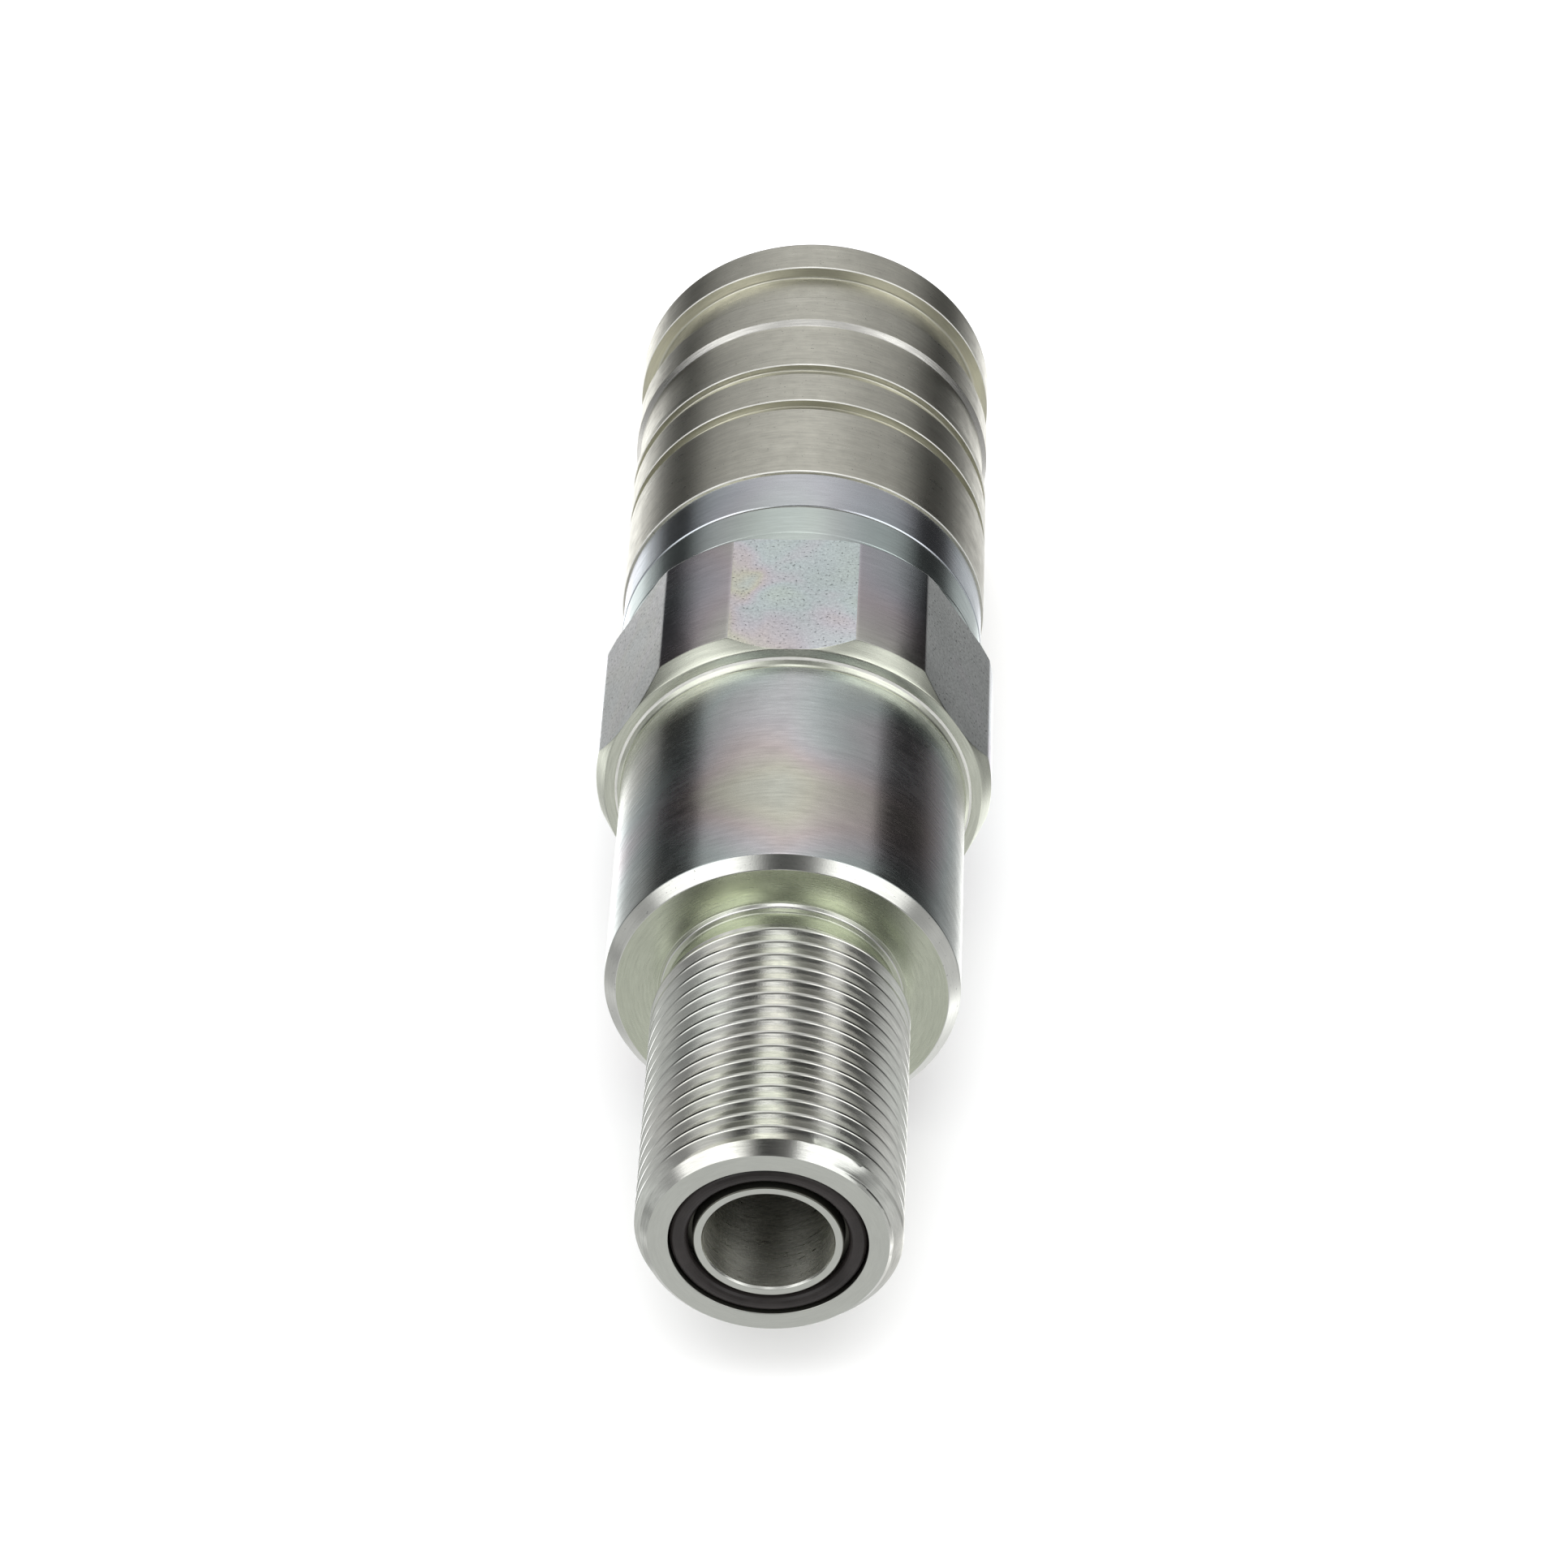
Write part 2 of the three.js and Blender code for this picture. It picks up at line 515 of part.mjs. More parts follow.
// The guide carries the stem in a hub on three spokes and lets the oil past between them.
function valveGuide() {
  const rim = flatRing(GUIDE.rim, BODY.chamber - FIT_GAP, guideStart, GUIDE.thickness);
  const hub = flatRing(POPPET.stem + SLIDE_GAP, GUIDE.hub, guideStart, GUIDE.thickness);
  let guide = solid(rim).add(solid(hub));
  const inner = (POPPET.stem + SLIDE_GAP + GUIDE.hub) / 2;
  const outer = (GUIDE.rim + BODY.chamber - FIT_GAP) / 2;
  const spokeThickness = GUIDE.thickness - 2 * GUIDE.spokeRecess;
  for (let index = 0; index < GUIDE.spokes; index += 1) {
    const spoke = new THREE.BoxGeometry(GUIDE.spokeWidth, spokeThickness, outer - inner);
    spoke.translate(0, (guideStart + guideEnd) / 2, (inner + outer) / 2);
    guide = guide.add(solid(spoke.rotateY((2 * Math.PI * index) / GUIDE.spokes)));
  }
  return geometryOf(guide);
}

addPiece('valve_guide', valveGuide(), VALVE_STEEL);
addPiece('guide_retaining_ring', retainingRing(GUIDE_RING), SPRING_STEEL);
addPiece(
  'poppet_spring',
  coilSpring(POPPET_SPRING, guideEnd, POPPET.rim - POPPET.rimLength),
  SPRING_STEEL,
);

export default coupler;
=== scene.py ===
"""Looks of the quick disconnect coupler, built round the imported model, which is the frame.

The coupler lies along Y with its threaded port towards -Y and its mouth towards +Y. Outlines are
in millimetres: each corner is (radius, station, fillet, finish), where the station is measured
along the axis from the port's front face and the finish covers the stretch up to the next corner.
"""
import json
import math

import bmesh
import bpy
import numpy as np
from mathutils import Matrix, Vector


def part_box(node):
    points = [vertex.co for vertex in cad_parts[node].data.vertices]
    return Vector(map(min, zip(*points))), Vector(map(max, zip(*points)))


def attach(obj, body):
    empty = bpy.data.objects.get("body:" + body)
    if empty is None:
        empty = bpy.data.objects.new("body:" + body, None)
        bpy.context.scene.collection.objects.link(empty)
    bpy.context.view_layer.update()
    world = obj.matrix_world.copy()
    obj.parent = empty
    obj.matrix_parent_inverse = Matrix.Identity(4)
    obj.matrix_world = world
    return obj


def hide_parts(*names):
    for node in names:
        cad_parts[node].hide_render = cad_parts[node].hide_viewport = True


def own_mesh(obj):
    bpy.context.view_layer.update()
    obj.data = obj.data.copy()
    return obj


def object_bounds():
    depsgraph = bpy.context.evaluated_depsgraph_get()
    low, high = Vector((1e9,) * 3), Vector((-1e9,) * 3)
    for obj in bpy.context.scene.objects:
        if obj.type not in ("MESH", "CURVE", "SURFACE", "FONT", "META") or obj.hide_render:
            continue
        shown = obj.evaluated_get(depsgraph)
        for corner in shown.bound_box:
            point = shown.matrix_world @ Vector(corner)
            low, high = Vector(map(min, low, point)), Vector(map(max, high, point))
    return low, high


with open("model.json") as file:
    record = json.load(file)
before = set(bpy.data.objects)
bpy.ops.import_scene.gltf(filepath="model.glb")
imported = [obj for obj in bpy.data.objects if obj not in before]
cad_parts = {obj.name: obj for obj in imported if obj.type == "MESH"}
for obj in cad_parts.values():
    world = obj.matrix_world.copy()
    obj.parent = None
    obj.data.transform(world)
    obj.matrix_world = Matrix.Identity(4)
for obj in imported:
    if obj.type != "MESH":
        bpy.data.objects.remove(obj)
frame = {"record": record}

cad_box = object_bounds()

MM = 0.001
FACE_Y = cad_box[0].y  # the port's front face, where stations start
COLUMNS = 256  # faces round a turned surface
FINE_COLUMNS = 192  # and round a smaller one
FILLET_STEPS = 3
SHARP = math.radians(38)  # edges steeper than this are shaded sharp
WELD = 2e-7  # metres; points closer than this are one point
HOLD = 0.04  # millimetres; a point this far from each end keeps a straight stretch's shading flat
RING_CLEARANCE = 0.1  # each side of a retaining ring in its groove
RING_DEPTH = 0.9  # of the grooves for the sleeve's and the body's rings
GUIDE_RING_DEPTH = 0.8


# ---------------- places, from the frame

def start_of(node):
    """The station of a node's end nearest the port, in millimetres."""
    return (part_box(node)[0].y - FACE_Y) / MM


def end_of(node):
    """The station of a node's end nearest the mouth, in millimetres."""
    return (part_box(node)[1].y - FACE_Y) / MM


def radius_of(node):
    """The outer radius of a turned node, in millimetres."""
    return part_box(node)[1].x / MM


def size_of(node):
    """A turned node's start, end and outer radius."""
    return start_of(node), end_of(node), radius_of(node)


def groove_for(ring):
    """The stations where a retaining ring's groove starts and ends."""
    return start_of(ring) - RING_CLEARANCE, end_of(ring) + RING_CLEARANCE


BEHAVIOUR = frame["record"]["behaviour"]
BODY = {node: body for body, nodes in BEHAVIOUR["bodies"].items() for node in nodes}


# ---------------- mesh building

def add_object(name, data):
    """A new object in the scene."""
    made = bpy.data.objects.new(name, data)
    bpy.context.scene.collection.objects.link(made)
    return made


def finished_mesh(name, work):
    """A mesh from a bmesh, which is then freed."""
    mesh = bpy.data.meshes.new(name)
    work.to_mesh(mesh)
    work.free()
    return mesh


def at(radius, station, turn):
    """The point at a radius, a station and an angle round the axis, in metres."""
    return (radius * MM * math.sin(turn), FACE_Y + station * MM, radius * MM * math.cos(turn))


def rounded(corners):
    """The points of a closed outline, with every corner that has a fillet made a short arc."""
    points = []
    for i, (radius, station, fillet, finish) in enumerate(corners):
        here = np.array((radius, station), float)
        before = np.array(corners[i - 1][:2], float) - here
        after = np.array(corners[(i + 1) % len(corners)][:2], float) - here
        length_before, length_after = np.linalg.norm(before), np.linalg.norm(after)
        if fillet == 0 or min(length_before, length_after) == 0:
            points.append((radius, station, finish))
            continue
        before /= length_before
        after /= length_after
        half = math.acos(float(np.clip(before @ after, -1, 1))) / 2
        cut = min(fillet / math.tan(half), 0.45 * length_before, 0.45 * length_after)
        size = cut * math.tan(half)
        middle = (before + after) / np.linalg.norm(before + after)
        centre = here + middle * size / math.sin(half)
        first = here + before * cut - centre
        last = here + after * cut - centre
        turn = math.atan2(first[0] * last[1] - first[1] * last[0], float(first @ last))
        for step in range(FILLET_STEPS + 1):
            angle = turn * step / FILLET_STEPS
            c, s = math.cos(angle), math.sin(angle)
            point = centre + (c * first[0] - s * first[1], s * first[0] + c * first[1])
            points.append((float(point[0]), float(point[1]), finish))
    return points


def in_one(finish, corners):
    """Corners (radius, station, fillet) that all have one finish."""
    return [(*corner, finish) for corner in corners]


def square(edge, floor, first, last, lip=0.1, foot=0.1):
    """The four corners of a square groove, or of a flat ring whose floor is its outer side."""
    return [(edge, first, lip), (floor, first, foot), (floor, last, foot), (edge, last, lip)]


def held(points):
    """The outline with a point added near both ends of every long straight stretch."""
    result = []
    for (radius, station, finish), (next_radius, next_station, _) in zip(points, points[1:]):
        result.append((radius, station, finish))
        length = math.hypot(next_radius - radius, next_station - station)
        for share in (HOLD / length, 1 - HOLD / length) if length > 5 * HOLD else ():
            result.append((
                radius + share * (next_radius - radius),
                station + share * (next_station - station), finish,
            ))
    return result + points[-1:]


def skin(name, rows, angles):
    """A closed mesh through rows of points round the Y axis; the last row meets the first.

    A row is (radius, station, finish), and each of them may change with the angle.
    """
    across = len(angles)
    radii = np.array([np.broadcast_to(row[0], across) for row in rows])
    stations = np.array([np.broadcast_to(row[1], across) for row in rows])
    points = np.stack((radii * np.sin(angles), stations, radii * np.cos(angles)), axis=-1) * MM
    points[..., 1] += FACE_Y
    finishes = []
    faces = []
    numbers = []
    for i, (_, _, finish) in enumerate(rows):
        j = (i + 1) % len(rows)
        for k in range(across - 1):
            label = finish if isinstance(finish, str) else finish[k]
            if label not in finishes:
                finishes.append(label)
            faces.append((i * across + k, i * across + k + 1, j * across + k + 1, j * across + k))
            numbers.append(finishes.index(label))
    return closed(name, points.reshape(-1, 3).tolist(), faces, finishes, numbers)


def closed(name, points, faces, finishes, numbers=()):
    """A closed mesh from its points in metres; numbers say which finish each face has."""
    mesh = bpy.data.meshes.new(name)
    mesh.from_pydata(points, [], faces)
    if numbers:
        mesh.polygons.foreach_set("material_index", numbers)
    for finish in finishes:
        mesh.materials.append(material(finish))
    tidy(mesh)
    return add_object(name, mesh)


def tube_faces(rings, around):
    """The faces of a closed tube through rings of points, capped at both ends."""
    faces = [tuple(range(around)), tuple(range((rings - 1) * around, rings * around))]
    for low in range(0, (rings - 1) * around, around):
        high = low + around
        for k in range(around):
            n = (k + 1) % around
            faces.append((low + k, low + n, high + n, high + k))
    return faces


def tidy(mesh):
    """Welds the seam, drops faces without area, turns every face outwards and smooths the mesh."""
    work = bmesh.new()
    work.from_mesh(mesh)
    bmesh.ops.remove_doubles(work, verts=work.verts, dist=WELD)
    bmesh.ops.dissolve_degenerate(work, edges=work.edges, dist=WELD)
    bmesh.ops.recalc_face_normals(work, faces=work.faces)
    if work.calc_volume(signed=True) < 0:
        bmesh.ops.reverse_faces(work, faces=work.faces)
    work.to_mesh(mesh)
    work.free()
    smooth(mesh)


def smooth(mesh):
    """Smooth shading, but for sharp edges."""
    mesh.shade_smooth()
    mesh.set_sharp_from_angle(angle=SHARP)


def turned(name, corners, columns=COLUMNS):
    """A turned piece from its closed outline."""
    angles = np.linspace(0, 2 * math.pi, columns + 1)
    points = rounded(corners)
    return skin(name, held(points + points[:1])[:-1], angles)


def place(piece, node):
    """The piece stands for a CAD node, which it hides, and rides on the node's body."""
    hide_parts(node)
    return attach(piece, BODY[node])


def round_ring(node, size, shift=0.0, steps=20):
    """An O-ring, shifted along from the middle of its node; size is its section's radius."""
    start, end, outer = size_of(node)
    radius, station = outer - size, (start + end) / 2 + shift
    turns = [2 * math.pi * step / steps for step in range(steps)]
    outline = [(radius + size * math.cos(t), station + size * math.sin(t), 0) for t in turns]
    return turned(f"{node}_ring", in_one("black_rubber", outline))


# ---------------- material building

class Sheet:
    """A node tree with short ways to add nodes; a value may be a number or a node's socket.

    A colour is three numbers, and gets its fourth here.
    """

    def __init__(self, tree):
        self.tree = tree
        self.tree.nodes.clear()

    def node(self, kind, inputs=None, **settings):
        made = self.tree.nodes.new(kind)
        for key, value in settings.items():
            setattr(made, key, value)
        for key, value in (inputs or {}).items():
            if isinstance(value, bpy.types.NodeSocket):
                self.tree.links.new(value, made.inputs[key])
            elif made.inputs[key].type == "RGBA":
                made.inputs[key].default_value = (*value, 1)
            else:
                made.inputs[key].default_value = value
        return made

    def where(self):
        """The place on the object."""
        return self.node("ShaderNodeTexCoord").outputs["Object"]

    def math(self, operation, a, b=0.0):
        return self.node("ShaderNodeMath", {0: a, 1: b}, operation=operation).outputs[0]

    def add(self, a, b):
        return self.math("ADD", a, b)

    def times(self, a, b):
        return self.math("MULTIPLY", a, b)

    def vector(self, operation, a, b=(0, 0, 0)):
        made = self.node("ShaderNodeVectorMath", {0: a, 1: b}, operation=operation)
        return made.outputs["Value" if operation in ("LENGTH", "DOT_PRODUCT") else "Vector"]

    def split(self, value):
        """The three parts of a vector."""
        return self.node("ShaderNodeSeparateXYZ", {0: value}).outputs

    def combine(self, x, y, z):
        return self.node("ShaderNodeCombineXYZ", {0: x, 1: y, 2: z}).outputs[0]

    def spread(self, value, low, high, to_low=0.0, to_high=1.0, smooth_step=False):
        """Maps low..high of a value to to_low..to_high, clamped."""
        kind = "SMOOTHSTEP" if smooth_step else "LINEAR"
        limits = {0: value, 1: low, 2: high, 3: to_low, 4: to_high}
        return self.node("ShaderNodeMapRange", limits, interpolation_type=kind).outputs[0]

    def noise(self, where, scale, detail=4.0, roughness=0.6, distortion=0.0):
        inputs = {"Vector": where, "Scale": scale, "Detail": detail, "Roughness": roughness,
                  "Distortion": distortion}
        return self.node("ShaderNodeTexNoise", inputs).outputs["Fac"]

    def ramp(self, value, stops):
        """A smooth run of colours; stops are (position, colour)."""
        made = self.node("ShaderNodeValToRGB", {"Fac": value})
        band = made.color_ramp
        for position, _ in stops[2:]:
            band.elements.new(position)
        for element, (position, colour) in zip(band.elements, stops):
            element.position = position
            element.color = (*colour, 1)
        return made.outputs["Color"]

    def mix(self, share, a, b, blend="MIX"):
        inputs = {0: share, 6: a, 7: b}
        return self.node("ShaderNodeMix", inputs, data_type="RGBA", blend_type=blend).outputs[2]

    def bump(self, height, strength, depth=2e-5):
        inputs = {"Height": height, "Strength": strength, "Distance": depth}
        return self.node("ShaderNodeBump", inputs).outputs[0]

    def principled(self, inputs):
        return self.node("ShaderNodeBsdfPrincipled", inputs).outputs[0]

    def finish(self, shader):
        """Gives the material its surface."""
        self.node("ShaderNodeOutputMaterial", {"Surface": shader})


def new_material(name):
    """An empty material, and the sheet that it is built on."""
    made = bpy.data.materials.new(name)
    made.use_nodes = True
    return made, Sheet(made.node_tree)


def grey(value):
    return (value, value, value)


PATINA_Y = FACE_Y + 46 * MM  # the middle of the barrel's rings of colour
# Painted shade: a bore's colour darkens between these two stations
BORE_LIGHT = FACE_Y + 4 * MM  # a bore fades from here
BORE_DARK = FACE_Y + 14 * MM  # to here


def rainbow(sheet, where, y, across, shift, run):
    """The plating's faint colours, which change along the axis and towards the sides."""
    drift = sheet.noise(sheet.vector("ADD", where, (shift, 0.31, 0.17)), 64.0, 0.6, 0.4)
    drift = sheet.add(sheet.times(drift, 0.6), sheet.times(sheet.math("ABSOLUTE", across), 0.2))
    away = sheet.math("ABSOLUTE", sheet.math("SUBTRACT", y, PATINA_Y))
    drift = sheet.add(drift, sheet.times(away, run))
    return sheet.ramp(drift, [
        (0.24, (0.97, 1.00, 0.92)), (0.31, (1.00, 0.99, 0.88)), (0.39, (1.00, 0.90, 0.92)),
        (0.45, (0.95, 0.93, 1.00)), (0.52, (0.87, 0.97, 1.00)), (0.66, (0.97, 1.00, 0.96)),
    ])


def turned_metal(sheet, tint, roughness, marks=1.0, patina=0.0, pits=0.0, shift=0.0, relief=1.0,
                 metal=1.0, shortness=6.0, mottle=0.0, run=0.0, brushing=0.45, contrast=1.0,
                 painted_bore_shade=0.0):
    """Plated steel from the lathe: fine marks that run round the axis over a soft patina.

    marks is how strong the turning marks are, patina how far the plating's colour drifts,
    pits how many small dark specks there are, shift moves the pattern, relief is the marks' depth,
    metal below 1 makes part of the colour matt and evenly lit, a painted highlight, shortness is
    how often the marks break off on their way round, mottle is how cloudy the plating is, run is
    how fast the patina's colour changes along the axis, brushing is how far the marks stretch
    highlights, contrast is how hard the marks' edges are, and fade is how much painted shade
    darkens a bore.
    """
    where = sheet.where()
    x, y, z = sheet.split(where)
    flat = sheet.combine(x, 0.0, z)
    radius = sheet.vector("LENGTH", flat)
    rx, _, rz = sheet.split(sheet.vector("NORMALIZE", flat))
    along = sheet.add(sheet.add(y, shift), sheet.times(radius, 1.37))

    def streaks(breaks, per_metre, detail):
        """Noise drawn out round the axis."""
        stretched = sheet.combine(
            sheet.times(rx, breaks), sheet.times(along, per_metre), sheet.times(rz, breaks)
        )
        return sheet.noise(stretched, 1.0, detail, 0.7)

    fine = streaks(shortness, 3400.0, 6.0)
    broad = streaks(1.2, 800.0, 4.0)
    cloud = sheet.noise(where, 95.0, 3.0, 0.55)
    grain = sheet.noise(where, 5200.0, 2.0, 0.6)

    colour = tint
    if patina:
        hues = rainbow(sheet, where, y, rx, shift, run)
        colour = sheet.mix(patina, colour, hues, "MULTIPLY")
    reach = 0.2 / contrast
    tone = sheet.spread(fine, 0.5 - reach, 0.5 + reach, 1 - 0.16 * marks, 1 + 0.08 * marks)
    # painted shade: the colour darkens deeper inside a bore
    if painted_bore_shade:
        tone = sheet.times(tone, sheet.spread(y, BORE_LIGHT, BORE_DARK, 1.0, 1 - painted_bore_shade))
    tone = sheet.times(tone, sheet.spread(broad, 0.3, 0.7, 1 - 0.06 * marks, 1 + 0.03 * marks))
    tone = sheet.times(tone, sheet.spread(cloud, 0.3, 0.7, 0.95, 1.03))
    if mottle:
        spots = sheet.noise(where, 640.0, 3.0, 0.65)
        spotted = sheet.spread(spots, 0.34, 0.66, 1 - 0.11 * mottle, 1 + 0.07 * mottle)
        tone = sheet.times(tone, spotted)
    if pits:
        specks = sheet.noise(where, 4300.0, 1.0, 0.4)
        dark = 0.84 - 0.1 * pits
        tone = sheet.times(tone, sheet.spread(specks, dark, dark - 0.06, 0.55, 1.0))
    colour = sheet.mix(1.0, colour, sheet.combine(tone, tone, tone), "MULTIPLY")

    shine = sheet.spread(fine, 0.3, 0.7, roughness + 0.07 * marks, roughness - 0.04 * marks)
    shine = sheet.add(shine, sheet.spread(cloud, 0.3, 0.7, -0.03, 0.04))
    if mottle:
        shine = sheet.add(shine, sheet.spread(spots, 0.34, 0.66, 0.06 * mottle, -0.03 * mottle))
    height = sheet.add(sheet.times(fine, marks), sheet.times(grain, 0.35))
    height = sheet.add(height, sheet.times(broad, 0.8 * marks))
    bump = sheet.bump(height, 0.35, 2.2e-5 * relief)
    around = sheet.node("ShaderNodeTangent", direction_type="RADIAL", axis="Y").outputs[0]
    return sheet.principled({
        "Base Color": colour, "Metallic": metal, "Roughness": shine, "Normal": bump,
        "Anisotropic": brushing * min(marks, 1.0), "Anisotropic Rotation": 0.25, "Tangent": around,
    })


def hexagon_skin(sheet):
    """The plated skin of drawn hexagon bar: sandy, with fine dark pits and bright grains."""
    tint = (0.94, 0.96, 0.95)
    where = sheet.where()
    sand = sheet.noise(where, 3200.0, 4.0, 0.75)
    pits = sheet.noise(where, 3300.0, 1.0, 0.5)
    cloud = sheet.noise(where, 140.0, 3.0, 0.5)
    across = sheet.split(where)[0]
    drift = sheet.add(sheet.noise(where, 110.0, 1.6, 0.5, 0.6), sheet.times(across, -11.0))
    hues = sheet.ramp(drift, [
        (0.34, (0.90, 0.99, 0.95)), (0.45, (0.90, 0.98, 1.00)), (0.54, (0.98, 0.93, 1.00)),
        (0.60, (1.00, 0.90, 0.92)), (0.66, (1.00, 0.96, 0.82)), (0.78, (0.90, 0.98, 0.96)),
    ])
    # painted sheen: the plating's colours show fully only on flats that face up or down
    facing = sheet.node("ShaderNodeNewGeometry").outputs["True Normal"]
    up = sheet.math("ABSOLUTE", sheet.split(facing)[2])
    share = sheet.spread(up, 0.6, 0.95, 0.15, 1.0)
    colour = sheet.mix(share, tint, hues, "MULTIPLY")
    tone = sheet.spread(sand, 0.3, 0.75, 0.74, 1.19)
    tone = sheet.times(tone, sheet.spread(pits, 0.28, 0.35, 0.45, 1.0))
    tone = sheet.times(tone, sheet.spread(cloud, 0.3, 0.7, 0.93, 1.05))
    colour = sheet.mix(1.0, colour, sheet.combine(tone, tone, tone), "MULTIPLY")
    height = sheet.add(sand, sheet.times(sheet.spread(pits, 0.33, 0.42), 0.7))
    bump = sheet.bump(height, 0.5)
    shine = sheet.spread(sand, 0.3, 0.7, 0.40, 0.29)
    return sheet.principled({
        "Base Color": colour, "Metallic": 1.0, "Roughness": shine, "Normal": bump,
    })


def clouded(sheet, noise, colours, shine, bump=0.0, grain=None, **inputs):
    """A material whose colour and roughness drift together; grain is the bumps' own noise."""
    where = sheet.where()
    cloud = sheet.noise(where, *noise)
    if bump:
        height = sheet.noise(where, *grain) if grain else cloud
        inputs["Normal"] = sheet.bump(height, bump)
    return sheet.principled({
        "Base Color": sheet.ramp(cloud, [(0.3, colours[0]), (0.7, colours[1])]),
        "Roughness": sheet.spread(cloud, 0.3, 0.7, *shine), **inputs,
    })


def rubber(sheet):
    """Black nitrile rubber with a faint oily sheen and moulding specks."""
    colours = (0.014, 0.012, 0.0115), (0.027, 0.023, 0.022)
    sheen = {"Specular IOR Level": 0.35}
    grain = (4200.0, 3.0, 0.6)
    return clouded(sheet, (260.0, 4.0, 0.6), colours, (0.30, 0.42), 0.25, grain, **sheen)


def plastic(sheet):
    """Off-white low-friction plastic, slightly waxy, with faint skiving marks."""
    colours = (0.62, 0.58, 0.49), (0.72, 0.69, 0.61)
    return clouded(sheet, (300.0, 3.0, 0.6), colours, (0.45, 0.6), 0.2)


def wire(sheet):
    """Oil-tempered spring wire: dark, with drawing marks and paler worn patches."""
    colours = (0.16, 0.16, 0.17), (0.42, 0.42, 0.44)
    return clouded(sheet, (900.0, 5.0, 0.7), colours, (0.45, 0.28), 0.3, Metallic=1.0)


def ball_steel(sheet):
    """Ground and polished bearing steel with faint lapping marks."""
    colours = (0.66, 0.66, 0.67), (0.76, 0.76, 0.77)
    return clouded(sheet, (2600.0, 5.0, 0.7, 2.0), colours, (0.08, 0.16), Metallic=1.0)


# What turned_metal is told for each finish of turned steel
TURNED = {
    "thread_plate": dict(
        tint=(0.91, 0.92, 0.86), roughness=0.13, marks=1.1, patina=0.15, relief=0.6
    ),
    # the face groove's plating, darkened as painted shade
    "groove_plate": dict(tint=(0.20, 0.20, 0.17), roughness=0.45, marks=0.5, shift=0.01),
    "face_plate": dict(tint=(0.80, 0.82, 0.76), roughness=0.36, marks=0.35, shift=0.02),
    "neck_plate": dict(tint=(0.74, 0.78, 0.64), roughness=0.24, marks=0.8, shift=0.03),
    "chamfer_plate": dict(tint=(0.90, 0.91, 0.86), roughness=0.17, marks=0.5, pits=0.6),
    "barrel_plate": dict(
        tint=(0.84, 0.83, 0.80), roughness=0.24, patina=1.0, shift=0.05, mottle=0.3, run=11.0
    ),
    "hex_chamfer": dict(tint=(0.85, 0.88, 0.76), roughness=0.24, marks=0.9, shift=0.07),
    "hex_corner": dict(tint=(0.80, 0.79, 0.81), roughness=0.22, patina=0.8, shift=0.09),
    "ring_plate": dict(tint=(0.86, 0.95, 0.93), roughness=0.23, marks=0.6, patina=0.3),
    "collar_plate": dict(tint=(0.84, 0.88, 0.93), roughness=0.23, marks=0.7, patina=0.3),
    "sleeve_plate": dict(
        tint=(0.83, 0.815, 0.72), roughness=0.30, pits=0.6, shift=0.11, mottle=0.6
    ),
    "sleeve_wall": dict(tint=(0.80, 0.79, 0.67), roughness=0.32, marks=0.6, shift=0.13),
    "sleeve_groove": dict(tint=(0.76, 0.75, 0.66), roughness=0.30, marks=1.2, shift=0.13),
    "sleeve_slope": dict(tint=(0.95, 0.94, 0.89), roughness=0.28, marks=1.6, shift=0.19),
    # a bright strip, partly matt so that it is evenly lit, as a painted highlight on small edges
    "worn_edge": dict(
        tint=(0.74, 0.74, 0.70), roughness=0.32, marks=1.2, metal=0.4, shift=0.21, contrast=1.6
    ),
    # the bore's plating, with painted shade that darkens it deeper in
    "bore_plate": dict(
        tint=(0.78, 0.78, 0.70), roughness=0.32, marks=2.5, relief=1.6, shortness=2.5,
        brushing=0.97, contrast=2.2, painted_bore_shade=0.5
    ),
    "valve_steel": dict(tint=(0.62, 0.61, 0.57), roughness=0.30, marks=0.9, shift=0.15),
    "ring_steel": dict(tint=(0.42, 0.42, 0.44), roughness=0.34, marks=0.6, shift=0.17),
}
OTHERS = {
    "hex_flat": hexagon_skin,
    "spring_wire": wire,
    "ball_steel": ball_steel,
    "black_rubber": rubber,
    "backup_plastic": plastic,
}


made_materials = {}


def material(finish):
    """The material of a finish, made the first time it is asked for."""
    if finish in made_materials:
        return made_materials[finish]
    made, sheet = new_material(f"look_{finish}")
    made_materials[finish] = made
    shader = OTHERS[finish](sheet) if finish in OTHERS else turned_metal(sheet, **TURNED[finish])
    sheet.finish(shader)
    return made


# ---------------- port body

THREAD_CREST = 12.65
THREAD_ROOT = 11.6
THREAD_PITCH = 25.4 / 14
THREAD_END = 30.6
FACE_RADIUS = 11.35
NECK_RADIUS = 11.35
NECK_START = 31.9
NECK_STEP = 33.55  # a small step up, in front of the shoulder
SHOULDER = 34.2
BARREL_RADIUS = 17.45
BARREL_START = 35.3
BARREL_END = 63.55
ACROSS_FLATS = 2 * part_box("port_body")[1].z / MM
CORNER_RADIUS = radius_of("port_body")
HEX_START = 64.2
HEX_END = 81.8
HEX_FACE_RADIUS = 19.1
HEX_SLOPE = 1.7  # length of the front chamfer for each millimetre of its height
HEX_REAR_CHAMFER = 0.5
HEX_ROUNDING = 0.09  # of the edges between flats and corners
CONE_ROUNDING = 0.07  # of the edges between chamfers and sides
RING_RADIUS = 18.65
RING_LINE = (83.35, 83.57, 0.05)  # start, end and depth of the line round the rear ring
RING_EDGE = 0.22
SPIGOT_BORE = 12.7
FLOW_BORE = 6.15
CHAMBER = 9.2  # radius of the room that the port body and the coupler body share
CHAMBER_START = 68.4
CHAMBER_END = 76.0
FACE_GROOVE = (7.07, 9.4, 1.9)  # inner radius, outer radius and depth
NOSE = 0.15  # how far the ring inside the face groove stands back
LIP = 0.15  # the small chamfer on the bore's edge


